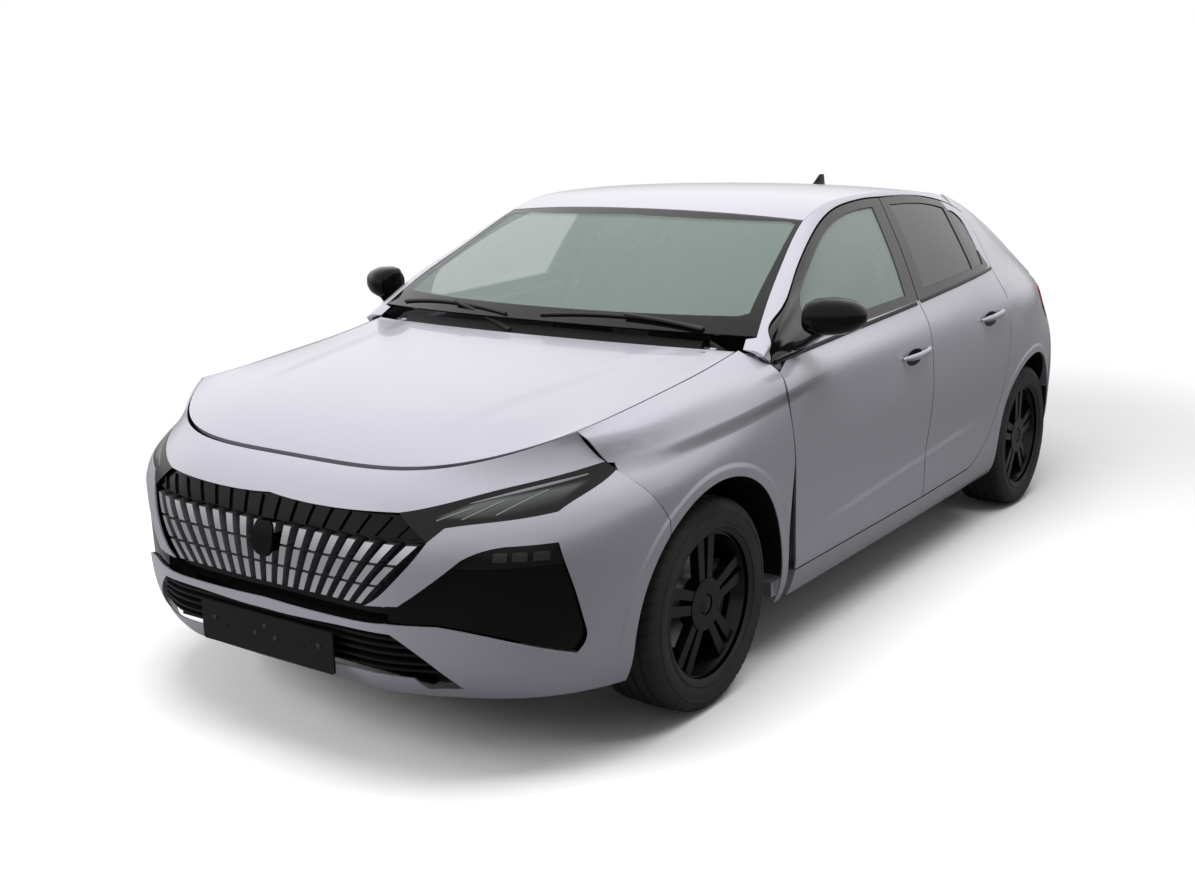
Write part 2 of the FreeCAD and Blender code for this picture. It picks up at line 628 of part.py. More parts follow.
def make_side_frames(arms):
    """Body side: pillars, roof rail and sill as one pressing, and the rear quarter behind it."""
    grid = side_grid(SIDE_STATIONS, "door")
    rear_door = side_prism(REAR_DOOR_RUNS, PANEL_GAP / 2)
    wheel = arch(REAR_AXLE_Y, ARCH_RADIUS, 300, FAR)
    front = skin(side_grid(FRAME_STATIONS, "door"), 0, SIDE_DEPTHS, OUT, shifted_grid)
    for zone in (side_prism(FRONT_DOOR_RUNS, PANEL_GAP / 2), rear_door, side_prism(WING_ZONE, PANEL_GAP / 2), wheel):
        front = front.cut(zone)
    roof_zone = skin(roof_grid(PANEL_GAP / 2 - SEAT_GAP), -30, ROOF_SKIN + SEAT_GAP, UP)
    screen_depth = GLASS_RECESS - 2 + SCREEN_GLASS + SEAT_GAP
    front = front.cut(skin(screen_grid(PANEL_GAP - SEAT_GAP, PANEL_GAP), -30, screen_depth, UP)).cut(roof_zone)
    rear = skin(side_grid(QUARTER_STATIONS, "door"), 0, SIDE_DEPTHS, OUT, shifted_grid)
    for zone in (rear_door, side_prism(TAIL_ZONE, PANEL_GAP / 2), wheel):
        rear = rear.cut(zone)
    rear = rear.cut(skin(gate_grid(GATE_INSET - PANEL_GAP), -30, GATE_DEPTH + PANEL_GAP, UP))
    rear = rear.cut(Part.makeLoft([roof_ledge(ROOF_TAIL_Y - 150), roof_ledge(ROOF_TAIL_Y + 10)], True, True))
    low_pillar = skin(grid[:9], PILLAR_NEAR, PILLAR_FAR, OUT, shifted_grid).common(side_prism(B_PILLAR_LOW))
    high_pillar = skin(grid[7:], HIGH_PILLAR_NEAR, HIGH_PILLAR_FAR, OUT, shifted_grid)
    high_pillar = high_pillar.common(side_prism(B_PILLAR_HIGH))
    head = skin(grid[8:], 8, PILLAR_FAR, OUT, shifted_grid).common(side_prism(B_PILLAR_HIGH))
    for zone in (side_prism(FRONT_DOOR_RUNS, PANEL_GAP), side_prism(REAR_DOOR_RUNS, PANEL_GAP), roof_zone):
        head = head.cut(zone)
    inner_x = across(HINGE_X) - HINGE_REACH
    foot = box(765, 840, along(-948), along(-929), above(890), above(990))
    foot = foot.common(skin(side_grid(FRAME_STATIONS, "door"), 5, 200, OUT, shifted_grid))
    foot = foot.cut(skin(side_grid(WING_STATIONS, "wing"), -20, WING_SKIN + SEAT_GAP, OUT))
    foot = foot.fuse(box(inner_x - 70, 785, along(-948), along(-885), above(890), above(930)))
    sill_box = box(inner_x - 70, across(852), along(-915), along(860), above(214), above(262))
    hinge_pillar = box(inner_x - 70, inner_x + 4, FRONT_HINGE_Y - 60, FRONT_HINGE_Y + 45, above(220), above(930))
    pieces = [head, foot, sill_box, low_pillar, high_pillar, hinge_pillar] + arms
    PARTS["side_frames"] = pair(solids_of(fused([front] + pieces)))
    PARTS["rear_quarters"] = pair(solids_of(rear))


def make_wings():
    """Front wings with their wheel openings."""
    grid = side_grid(WING_STATIONS, "wing")
    wing = skin(grid, 0, WING_SKIN, OUT)
    zone = [[(-853, 100), (-853, 297)], FRONT_DOOR_LINE, [(-921, 962), (-955, 988)], [(-955, 988), (-955, 1300)],
            [(-955, 1300), (-2500, 1300)], [(-2500, 1300), (-2500, 100)], [(-2500, 100), (-853, 100)]]
    wing = wing.common(side_prism(zone, -PANEL_GAP / 2))
    wing = wing.cut(side_prism(NOSE_ZONE, PANEL_GAP / 4))
    wing = wing.cut(arch(FRONT_AXLE_Y, ARCH_RADIUS, 300, FAR))
    PARTS["front_wings"] = pair(solids_of(wing))


NOSE_SHARES = [0.0, 0.15, 0.30, 0.45, 0.60, 0.72, 0.82, 0.90, 0.96, 1.0]
NOSE_SWEEPS = [0.0, 0.002, 0.008, 0.024, 0.11, 0.21, 0.33, 0.49, 0.70, 1.0]
# Front bumper rows from the bottom up: (centre y, centre z, end y, end z, share of the bonnet's sweep).
BUMPER_ROWS = [(-2120, 225, -1570, 212, 0.0), (-2168, 300, -1570, 300, 0.0), (-2184, 390, -1570, 430, 0.0),
               (-2186, 490, -1570, 545, 0.0), (-2178, 600, -1585, 662, 0.0), (-2152, 690, -1640, 745, 0.3),
               (-2112, 755, -1700, 806, 0.65), (-2060, 797, -1758, 896, 1.0)]
BONNET_SWEEP = 4.0
# Rear body rows from the bottom up, in the same form.
REAR_ROWS = [(2110, 250, 1640, 255, 0.0), (2160, 330, 1640, 340, 0.0), (2181, 430, 1640, 440, 0.0),
             (2183, 560, 1640, 570, 0.0), (2168, 680, 1640, 690, 0.0), (2140, 770, 1640, 775, 0.0),
             (2122, 850, 1640, 850, 0.0), (2098, 920, 1640, 915, 0.0), (2050, 985, 1640, 968, 0.0)]


def wrapped_grid(rows, upper):
    """Full-width surface that wraps round a nose or tail onto both body sides."""
    grid = []
    for centre_y, centre_z, end_y, end_z, sweep in rows:
        end_x = side_x(end_y, end_z, upper)
        half = []
        for share, low in zip(NOSE_SHARES, NOSE_SWEEPS):
            turn = low * (1 - sweep) + share ** BONNET_SWEEP * sweep
            half.append((end_x * share, centre_y + (end_y - centre_y) * turn, centre_z + (end_z - centre_z) * turn))
        left = [at(*point) for point in half]
        right = [at(-x, y, z) for x, y, z in half[:0:-1]]
        grid.append(right + left)
    return grid


# Outlines of the nose seen from the front, left half, as (x, z).
GRILLE_HALF = [[(0, 716), (120, 709), (263, 710), (388, 716), (442, 718)], [(442, 718), (531, 652)],
               [(531, 652), (502, 605), (463, 557), (416, 508), (372, 479)], [(372, 479), (425, 483)],
               [(425, 483), (425, 435)], [(425, 435), (267, 429), (141, 430), (0, 434)]]
STRIP_HALF = [[(0, 716), (120, 709), (263, 710), (388, 716), (442, 718)], [(442, 718), (525, 657)],
              [(525, 657), (283, 653), (0, 648)]]
LOWER_HALF = [[(0, 403), (138, 404), (283, 409), (440, 409)], [(440, 409), (527, 337), (589, 256)],
              [(589, 256), (502, 252)], [(502, 252), (480, 286)], [(480, 286), (280, 289), (0, 284)]]
HEADLAMP = [[(442, 718), (551, 744), (648, 773), (733, 794), (788, 812)], [(788, 812), (808, 806)],
            [(808, 806), (815, 790)], [(815, 790), (811, 766), (800, 749), (778, 719)],
            [(778, 719), (734, 711), (651, 701), (566, 688)], [(566, 688), (531, 652)], [(531, 652), (442, 718)]]
CORNER_TRIM = [[(431, 484), (465, 486)], [(465, 486), (556, 559), (612, 611)], [(612, 611), (649, 631), (702, 645)],
               [(702, 645), (796, 648)], [(796, 648), (810, 588), (822, 512), (833, 408)],
               [(833, 408), (829, 371), (814, 342)], [(814, 342), (791, 356), (683, 404), (553, 435)],
               [(553, 435), (431, 435)], [(431, 435), (431, 484)]]
SLIM_LAMP = [[(592, 586), (616, 610)], [(616, 610), (649, 628), (702, 642)], [(702, 642), (794, 645)],
             [(794, 645), (806, 592)], [(806, 592), (707, 588), (592, 586)]]

# Grille bars: three rows that fan out to the grille's slanted sides.
BAR_COUNT = 9
BAR_ROWS = 3
BAR_SHARE = 0.46
BAR_ROW_GAP = 7.0
BAR_RECESS = 7.0
BAR_LOW_Z = 476.0
BAR_HIGH_Z = 644.0
BAR_LOW_X = 362.0
BAR_HIGH_X = 524.0
SENSOR = [[(0, 642), (30, 636), (38, 600), (30, 560), (0, 552)],
          [(0, 552), (-30, 560), (-38, 600), (-30, 636), (0, 642)]]
SLAT_HEIGHTS = [304.0, 325.0, 350.0, 371.0, 391.0]
SLAT_THICKNESS = 7.0
PLATE_HALF_WIDTH = 259.0
PLATE_LOW_Z = 268.0
PLATE_HIGH_Z = 384.0
PLATE_Y = -2187.0
PLATE_THICKNESS = 6.0
PLATE_HOLE_X = 150.0
PLATE_HOLE_Z = 326.0
PLATE_HOLE_RADIUS = 3.0


def both_halves(runs):
    """Symmetric outline from its left half, whose first and last points lie on the centre line."""
    other = [[(-x, z) for x, z in run[::-1]] for run in runs[::-1]]
    return runs + other


def grille_bar(share, low_share, high_share, half):
    """Upright prism of one slanted bar: share is its place between the centre and the grille's side."""
    corners = []
    for side, level in ((-half, low_share), (half, low_share), (half, high_share), (-half, high_share)):
        reach = BAR_LOW_X + (BAR_HIGH_X - BAR_LOW_X) * level
        corners.append(((share + side) * reach, BAR_LOW_Z + (BAR_HIGH_Z - BAR_LOW_Z) * level))
    return front_prism(loop(corners), NOSE_Y - 100, along(-1900))


def make_grille(grid, near_y, far_y):
    """Grille: backing, slanted bars in rows, ribbed strip above them and a plain sensor cover."""
    back = skin(grid, GRILLE_RECESS, GRILLE_RECESS + BUMPER_SKIN, FORWARD)
    PARTS["grille"] = solids_of(back.common(front_prism(both_halves(GRILLE_HALF), near_y, far_y, -FIT)))
    sensor = front_prism(SENSOR, near_y, far_y)
    pitch = 1.0 / BAR_COUNT
    row_gap = BAR_ROW_GAP / (BAR_HIGH_Z - BAR_LOW_Z) / 2
    shares = [(index + 0.5) * pitch for index in range(-BAR_COUNT, BAR_COUNT)]
    prisms = []
    for row in range(BAR_ROWS):
        low_share = row / BAR_ROWS + row_gap
        high_share = (row + 1) / BAR_ROWS - row_gap
        prisms += [grille_bar(share, low_share, high_share, pitch * BAR_SHARE / 2) for share in shares]
    slab = skin(grid, BAR_RECESS, GRILLE_RECESS - SEAT_GAP, FORWARD)
    bars = slab.common(Part.makeCompound(prisms)).cut(front_prism(SENSOR, near_y, far_y, 3.0))
    PARTS["grille_bars"] = Part.makeCompound(bars.Solids)
    cover = skin(grid, 3, GRILLE_RECESS - SEAT_GAP, FORWARD)
    PARTS["sensor_cover"] = solids_of(cover.common(sensor))
    strip = skin(grid, 11, 17, FORWARD).common(front_prism(both_halves(STRIP_HALF), near_y, far_y, -FIT))
    ribs = [grille_bar(share, 1.03, 1.36, pitch * 0.05) for share in shares]
    ribs = skin(grid, 5, 12, FORWARD).common(Part.makeCompound(ribs))
    ribs = ribs.common(front_prism(both_halves(STRIP_HALF), near_y, far_y, -2))
    PARTS["grille_strip"] = solids_of(strip.fuse(ribs.Solids))


def make_lower_grille(grid, near_y, far_y):
    """Lower intake with slats, and the flat number plate carrier in front of it."""
    opening = front_prism(both_halves(LOWER_HALF), near_y, far_y, -FIT)
    back = skin(grid, GRILLE_RECESS - 2, GRILLE_RECESS + BUMPER_SKIN, FORWARD).common(opening)
    slats = [box(-FAR, FAR, -FAR, 0, above(z) - SLAT_THICKNESS / 2, above(z) + SLAT_THICKNESS / 2)
             for z in SLAT_HEIGHTS]
    slats = skin(grid, 13, GRILLE_RECESS, FORWARD).common(Part.makeCompound(slats)).common(opening)
    PARTS["lower_grille"] = solids_of(back.fuse(slats.Solids))
    y = along(PLATE_Y)
    plate = box(-PLATE_HALF_WIDTH, PLATE_HALF_WIDTH, y, y + PLATE_THICKNESS, above(PLATE_LOW_Z), above(PLATE_HIGH_Z))
    plate = plate.makeFillet(9, [edge for edge in plate.Edges if edge.Length < PLATE_THICKNESS + 1])
    for side in (-1, 1):
        hole = Part.makeCylinder(PLATE_HOLE_RADIUS, 40, Vector(side * PLATE_HOLE_X, y - 20, above(PLATE_HOLE_Z)),
                                 REARWARD)
        boss = Part.makeCylinder(7, 50, Vector(side * 205, y + 2, above(337.5)), REARWARD)
        plate = plate.cut(hole).fuse(boss)
    PARTS["plate_carrier"] = solids_of(plate.cut(PARTS["lower_grille"]))


def make_nose():
    """Front bumper skin with its lamps, corner trims and both grilles."""
    grid = wrapped_grid(BUMPER_ROWS, "wing")
    near_y = NOSE_Y - 100
    far_y = along(-1500)
    bumper = skin(grid, 0, BUMPER_SKIN, FORWARD)
    bumper = bumper.common(side_prism(NOSE_ZONE, -PANEL_GAP / 4, -FAR, FAR))
    bumper = bumper.cut(arch(FRONT_AXLE_Y, ARCH_RADIUS, 300, FAR))
    bumper = bumper.cut(mirrored(arch(FRONT_AXLE_Y, ARCH_RADIUS, 300, FAR)))
    grille = front_prism(both_halves(GRILLE_HALF), near_y, far_y)
    lower = front_prism(both_halves(LOWER_HALF), near_y, far_y)
    lamp = front_prism(HEADLAMP, near_y, along(-1683))
    trim = front_prism(CORNER_TRIM, near_y, far_y)
    join = box(across(420), across(436), near_y, far_y, above(436), above(482))
    for opening in (grille, lower, lamp, mirrored(lamp), trim, mirrored(trim), join, mirrored(join)):
        bumper = bumper.cut(opening)
    PARTS["front_bumper"] = solids_of(bumper)
    lens = skin(grid, LENS_RECESS, LENS_RECESS + LAMP_DEPTH, FORWARD)
    lamp_seat = front_prism(HEADLAMP, near_y, along(-1683), -FIT)
    PARTS["headlamps"] = pair(solids_of(lens.common(lamp_seat)))
    wings = PARTS["front_wings"]
    PARTS["front_wings"] = solids_of(wings.cut(lamp).cut(mirrored(lamp)))
    cover = skin(grid, TRIM_RECESS, TRIM_RECESS + BUMPER_SKIN, FORWARD)
    seat = front_prism(CORNER_TRIM, near_y, far_y, -FIT)
    slim = front_prism(SLIM_LAMP, near_y, far_y)
    PARTS["bumper_corner_trims"] = pair(solids_of(cover.common(seat).cut(slim)))
    slim_lens = skin(grid, TRIM_RECESS - 4, TRIM_RECESS + BUMPER_SKIN * 2, FORWARD)
    PARTS["slim_lamps"] = pair(solids_of(slim_lens.common(front_prism(SLIM_LAMP, near_y, far_y, -FIT))))
    make_grille(grid, near_y, far_y)
    make_lower_grille(grid, near_y, far_y)


def make_tail():
    """Rear bumper, lower valance, tail lamps and the lower half of the tailgate."""
    grid = wrapped_grid(REAR_ROWS, "door")
    far_y = TAIL_Y + 100
    near_y = along(1500)
    shell = skin(grid, 0, BUMPER_SKIN, REARWARD)
    tail_zone = side_prism(TAIL_ZONE, -PANEL_GAP / 2, -FAR, FAR)
    shell = shell.common(tail_zone)
    gate = front_prism(TAILGATE_FRONT, near_y, far_y, PANEL_GAP / 2)
    lamp = front_prism(TAIL_LAMP, near_y, far_y)
    valance = front_prism(VALANCE, near_y, far_y)
    wheel = arch(REAR_AXLE_Y, ARCH_RADIUS, 300, FAR)
    rear = shell
    for opening in (gate, lamp, mirrored(lamp), valance, wheel, mirrored(wheel)):
        rear = rear.cut(opening)
    PARTS["rear_bumper"] = solids_of(rear)
    deep = skin(grid, 2, BUMPER_SKIN + 2, REARWARD)
    PARTS["rear_valance"] = solids_of(deep.common(front_prism(VALANCE, near_y, far_y, -FIT)))
    lamps = skin(grid, LENS_RECESS, LENS_RECESS + LAMP_DEPTH, REARWARD).common(tail_zone)
    PARTS["tail_lamps"] = pair(solids_of(lamps.common(front_prism(TAIL_LAMP, near_y, far_y, -FIT)).cut(gate)))
    return grid


TAILGATE_FRONT = both_halves([[(0, 1200), (610, 1200)], [(610, 1200), (610, 860)], [(610, 860), (560, 660)],
                              [(560, 660), (300, 640), (0, 636)]])
TAIL_LAMP = loop([(560, 866), (900, 866), (900, 992), (560, 992)])
VALANCE = both_halves([[(0, 420), (500, 425), (620, 400)], [(620, 400), (690, 262)], [(690, 262), (690, 200)],
                       [(690, 200), (0, 200)]])
REAR_WINDOW = both_halves([[(0, 1352), (470, 1322)], [(470, 1322), (560, 1090)], [(560, 1090), (0, 1100)]])


def make_tailgate(rear_grid):
    """Tailgate with its window, hinged at the roof."""
    grid = gate_grid(GATE_INSET)
    far_y = TAIL_Y + 100
    near_y = along(1000)
    upper = skin(grid, 0, GATE_DEPTH, UP)
    window = front_prism(REAR_WINDOW, near_y, far_y)
    lower = skin(rear_grid, 0, GATE_DEPTH, REARWARD).common(front_prism(TAILGATE_FRONT, near_y, far_y, -PANEL_GAP / 2))
    beam = box(-540, 540, along(1915), along(2030), above(955), above(980))
    arms, knuckles = lid_hinges(GATE_HINGE_X, along(GATE_HINGE_Y), above(GATE_HINGE_Z), -1)
    upper = upper.cut(window).cut(box(-FAR, FAR, 0, along(GATE_HEAD_Y), 0, FAR))
    gate = fused([upper, lower, beam] + knuckles)
    PARTS["tailgate"] = solids_of(gate)
    pane = skin(grid, GLASS_RECESS, GLASS_RECESS + GLASS, UP)
    PARTS["tailgate_glass"] = solids_of(pane.common(front_prism(REAR_WINDOW, near_y, far_y, -FIT)))


def make_bonnet():
    """Bonnet skin hinged at its rear corners."""
    shares = spaced(0.0, 1.0, 7)
    sides = []
    centres = []
    powers = []
    for share in shares:
        side_y = -1752 + (-970 + 1752) * share
        x, z = smooth(BONNET_EDGE, side_y)
        sides.append((x - PANEL_GAP, side_y, z))
        centre_y = -2049 + (-1100 + 2049) * share
        centres.append((centre_y, smooth(BONNET_CENTRE, centre_y)[0]))
        powers.append(BONNET_SWEEP + (2.2 - BONNET_SWEEP) * share)
    grid = crowned_grid(sides, centres, powers)
    arms, eyes = lid_hinges(BONNET_HINGE_X, along(BONNET_HINGE_Y), above(BONNET_HINGE_Z), 1)
    PARTS["bonnet"] = fused([skin(grid, 0, BONNET_DEPTH, UP)] + eyes)
    return arms


def make_roof_and_screen():
    """Windscreen and roof panel, which meet along the windscreen's head."""
    PARTS["windscreen"] = skin(screen_grid(PANEL_GAP), GLASS_RECESS - 2, GLASS_RECESS - 2 + SCREEN_GLASS, UP)
    grid = roof_grid(PANEL_GAP / 2)
    roof = skin(grid, 0, ROOF_SKIN, UP)
    arms, knuckles = lid_hinges(GATE_HINGE_X, along(GATE_HINGE_Y), above(GATE_HINGE_Z), -1)
    half = GATE_HINGE_X[-1] + 40
    header = box(-half, half, along(ROOF_TAIL_Y) - 40, along(ROOF_TAIL_Y) - 4, above(GATE_HINGE_Z) - ROOF_HEADER + 8,
                 above(GATE_HINGE_Z) + 5)
    PARTS["roof_panel"] = fused([roof, header] + arms)


def tyre(width, radius):
    """Tyre as a revolved section about the X axis, centred on the origin."""
    half = width / 2
    profile = [(-half * 0.80, RIM_RADIUS), (-half * 0.98, RIM_RADIUS + 22), (-half, RIM_RADIUS + 48),
               (-half * 0.93, radius - 16), (-half * 0.72, radius - 1.5), (0, radius), (half * 0.72, radius - 1.5),
               (half * 0.93, radius - 16), (half, RIM_RADIUS + 48), (half * 0.98, RIM_RADIUS + 22),
               (half * 0.80, RIM_RADIUS)]
    wire = Part.makePolygon([Vector(x, 0, r) for x, r in profile + profile[:1]])
    return Part.Face(wire).revolve(Vector(0, 0, 0), OUT, 360)


def rim():
    """Five double spokes in a deep barrel, outer face towards +X."""
    half = TYRE_WIDTH / 2
    barrel = [(-half * 0.80, RIM_RADIUS - FIT), (-half * 0.80, RIM_RADIUS - 12), (half * 0.45, RIM_RADIUS - 26),
              (half * 0.80, RIM_RADIUS - 8), (half * 0.80, RIM_RADIUS - FIT)]
    wire = Part.makePolygon([Vector(x, 0, r) for x, r in barrel + barrel[:1]])
    body = Part.Face(wire).revolve(Vector(0, 0, 0), OUT, 360)
    hub = Part.makeCylinder(78, 46, Vector(HUB_FACE_X, 0, 0), OUT)
    spokes = []
    for i in range(5):
        for side in (-1, 1):
            profile = [(side * 4, 30), (side * 30, 34), (side * 46, RIM_RADIUS - 14), (side * 12, RIM_RADIUS - 14)]
            wire = Part.makePolygon([Vector(HUB_FACE_X + 14, y, z) for y, z in profile + profile[:1]])
            arm = Part.Face(wire).extrude(Vector(30, 0, 0))
            arm.rotate(Vector(0, 0, 0), OUT, 72 * i)
            spokes.append(arm)
    body = fused([body, hub] + spokes)
    bore = Part.makeCylinder(HUB_RADIUS + FIT, 200, Vector(-60, 0, 0), OUT)
    return body.cut(bore)


def brake_disc():
    """Brake disc with its bell, bolted behind the rim's face."""
    disc = Part.makeCylinder(DISC_RADIUS, DISC_THICKNESS, Vector(HUB_FACE_X - 46, 0, 0), OUT)
    bell = Part.makeCylinder(74, 46 - FIT, Vector(HUB_FACE_X - 46, 0, 0), OUT)
    bore = Part.makeCylinder(HUB_RADIUS + FIT, 200, Vector(-100, 0, 0), OUT)
    return disc.fuse(bell).cut(bore)


def make_wheels():
    """Four wheels, each a tyre, a rim and a brake disc."""
    pieces = (("tyre", tyre(TYRE_WIDTH, TYRE_RADIUS)), ("rim", rim()), ("brake_disc", brake_disc()))
    for place, axle_y in (("front", FRONT_AXLE_Y), ("rear", REAR_AXLE_Y)):
        for name, shape in pieces:
            left = shape.copy()
            left.translate(Vector(WHEEL_X, axle_y, TYRE_RADIUS))
            PARTS["%s_%s_left" % (name, place)] = left
            PARTS["%s_%s_right" % (name, place)] = mirrored(left)


def steer_axis():
    """Lower ball joint and direction of the left kingpin, leaning inward at the top."""
    low = Vector(WHEEL_X - 45, FRONT_AXLE_Y, 205)
    lean = math.radians(STEER_LEAN)
    return low, Vector(-math.sin(lean), 0, math.cos(lean))


def make_knuckles():
    """Front uprights: hub carrier, stub axle, caliper and strut."""
    low, lean = steer_axis()
    centre = Vector(WHEEL_X, FRONT_AXLE_Y, TYRE_RADIUS)
    stub = Part.makeCylinder(HUB_RADIUS, 150, centre + Vector(HUB_FACE_X - 110, 0, 0), OUT)
    flange_x = centre.x + HUB_FACE_X - 46 - 8
    carrier = Part.makeCylinder(58, 34, Vector(flange_x - 34, centre.y, centre.z), OUT)
    ball = Part.makeSphere(17, low)
    leg = rod(low, low + lean * 46, 11)
    shin = rod(low + lean * 40, Vector(flange_x - 18, centre.y, centre.z - 20), 14)
    top = low + lean * ((STRUT_TOP_Z - low.z) / lean.z)
    foot = Vector(centre.x - STRUT_INSET, centre.y, centre.z + 80)
    neck = top - lean * 40
    strut = rod(foot, neck, 24)
    cap = rod(neck, top, 24)
    elbow = Part.makeSphere(24, neck)
    bracket = box(foot.x - 22, flange_x - 12, centre.y - 26, centre.y + 26, foot.z - 25, foot.z + 35)
    spring_foot = foot + (neck - foot) * ((SPRING_FOOT_Z - foot.z) / (neck.z - foot.z))
    spring = rod(spring_foot, neck, 60)
    steering_arm = box(flange_x - 30, flange_x - 6, centre.y, centre.y + 120, centre.z - 52, centre.z - 28)
    disc_x = centre.x + HUB_FACE_X - 46
    caliper = box(disc_x - 30, disc_x + DISC_THICKNESS + 18, centre.y + 80, centre.y + DISC_RADIUS + 26,
                  centre.z - 62, centre.z + 62)
    slot = Part.makeCylinder(DISC_RADIUS + 6, DISC_THICKNESS + 12, Vector(disc_x - 6, centre.y, centre.z), OUT)
    carrier_arm = box(flange_x - 30, flange_x - 12, centre.y + 30, centre.y + 120, centre.z - 40, centre.z + 40)
    knuckle = fused([stub, carrier, ball, leg, shin, strut, cap, elbow, bracket, spring, steering_arm,
                     caliper.cut(slot), carrier_arm])
    PARTS["knuckle_left"] = knuckle
    PARTS["knuckle_right"] = mirrored(knuckle)


def make_chassis():
    """Subframe, rear axle, engine block and exhaust."""
    y = FRONT_AXLE_Y
    cross = box(-440, 440, y - 80, y + 260, 170, 225)
    post = box(412, 440, y + 60, y + 160, 225, RAIL_LOW_Z)
    low, lean = steer_axis()
    arms = []
    for side_y in (y - 60, y + 120):
        arms.append(rod(Vector(430, side_y, 196), low + Vector(-8, 0, -4), 16))
    arm = fused(arms + [Part.makeSphere(24, low)]).cut(Part.makeSphere(17 + FIT, low))
    arm = arm.cut(Part.makeCylinder(19, 80, low, lean))
    PARTS["front_subframe"] = fused([cross, post, mirrored(post), arm, mirrored(arm)])
    rear = REAR_AXLE_Y
    beam = box(-560, 560, rear - 240, rear - 170, 250, 330)
    trailing = box(520, 590, along(850), rear + 40, 255, 325)
    spindle = Part.makeCylinder(HUB_RADIUS, WHEEL_X + HUB_FACE_X + 40 - 560, Vector(560, rear, TYRE_RADIUS), OUT)
    plate = box(560, WHEEL_X + HUB_FACE_X - 46 - 8, rear - 45, rear + 45, TYRE_RADIUS - 45, TYRE_RADIUS + 45)
    half = fused([trailing, plate, spindle])
    PARTS["rear_axle"] = fused([beam, half, mirrored(half)])
    engine = box(-400, 260, y - 240, y + 230, 240, 800)
    engine = engine.makeFillet(25, engine.Edges)
    mounts = [box(250, RAIL_X, y - 30, y + 30, 700, 740), box(-RAIL_X, -390, y - 30, y + 30, 700, 740)]
    PARTS["engine"] = fused([engine] + mounts)
    pipe_z = above(205) - 33
    pipe = rod(Vector(-60, y + 270, pipe_z), Vector(-60, rear - 330, pipe_z), 25)
    hangers = [rod(Vector(-60, along(place), pipe_z), Vector(-60, along(place), above(205)), 9)
               for place in (-800, 500)]
    silencer = box(-330, 240, rear + 330, rear + 620, 240, 370)
    silencer = silencer.makeFillet(40, silencer.Edges)
    link = rod(Vector(-60, rear - 330, pipe_z), Vector(-60, rear + 350, 300), 25)
    hooks = [rod(Vector(x, rear + 470, 360), Vector(x, rear + 470, above(395)), 9) for x in (-250, 160)]
    joint = Part.makeSphere(25, Vector(-60, rear - 330, pipe_z))
    PARTS["exhaust"] = fused([pipe, joint, link, silencer] + hangers + hooks)


def make_liners():
    """Plastic wheel arch liners behind the panels' inner faces."""
    liners = []
    for axle_y, grid, reach in ((FRONT_AXLE_Y, side_grid(WING_STATIONS, "wing")[:8], 230.0),
                                (REAR_AXLE_Y, side_grid(QUARTER_STATIONS, "door")[:8], 330.0)):
        shell = arch(axle_y, ARCH_RADIUS + LINER, 300, FAR).cut(arch(axle_y, ARCH_RADIUS, 200, FAR + 100))
        shell = shell.common(box(0, FAR, -FAR, FAR, above(300), FAR))
        depth = 16.0 if reach > 300 else WING_SKIN + 4
        shell = shell.common(skin(grid, depth, reach, OUT, shifted_grid))
        liners.append(solids_of(shell))
    PARTS["arch_liners"] = Part.makeCompound(liners + [mirrored(liner) for liner in liners])


def make_underbody(arms):
    """Floor, firewall, strut towers and boot floor as the welded shell."""
    front = FRONT_AXLE_Y
    rear = REAR_AXLE_Y
    inner_x = across(HINGE_X) - HINGE_REACH - 70
    floor = box(-inner_x, inner_x, along(-930), along(850), above(205), above(232))
    firewall = box(-inner_x, inner_x, along(-955), along(-930), above(205), above(940))
    cowl_box = box(-inner_x, inner_x, along(-1060), along(-930), above(905), above(940))
    rails = box(RAIL_X - 20, RAIL_X + 35, along(-2060), along(-940), RAIL_LOW_Z, RAIL_LOW_Z + 100)
    house = box(RAIL_X, RAIL_X + 25, front - 330, along(-940), RAIL_LOW_Z + 90, 880)
    tower = box(RAIL_X + 10, 680, front - 80, front + 80, STRUT_TOP_Z + 14, STRUT_TOP_Z + 34)
    low, lean = steer_axis()
    top = low + lean * ((STRUT_TOP_Z - low.z) / lean.z)
    mount = rod(top + lean * FIT, top + lean * 24, 42)
    crossbeam = box(-470, 470, along(-2100), along(-2050), above(430), above(540))
    post = box(RAIL_X - 20, RAIL_X + 35, along(-2085), along(-2050), RAIL_LOW_Z, above(530))
    front_end = fused([rails, house, tower, mount, post])
    seat_step = box(-inner_x, inner_x, along(820), along(850), above(205), above(420))
    boot = box(-570, 570, along(830), along(2060), above(395), above(420))
    rear_panel = box(-560, 560, along(2030), along(2060), above(395), above(640))
    wall = arch(rear, ARCH_RADIUS + 10, 560, 568).common(box(0, FAR, -FAR, FAR, above(395), FAR))
    pieces = [floor, firewall, cowl_box, crossbeam, seat_step, boot, rear_panel, front_end, mirrored(front_end),
              wall, mirrored(wall)]
    PARTS["underbody"] = fused(pieces + arms)


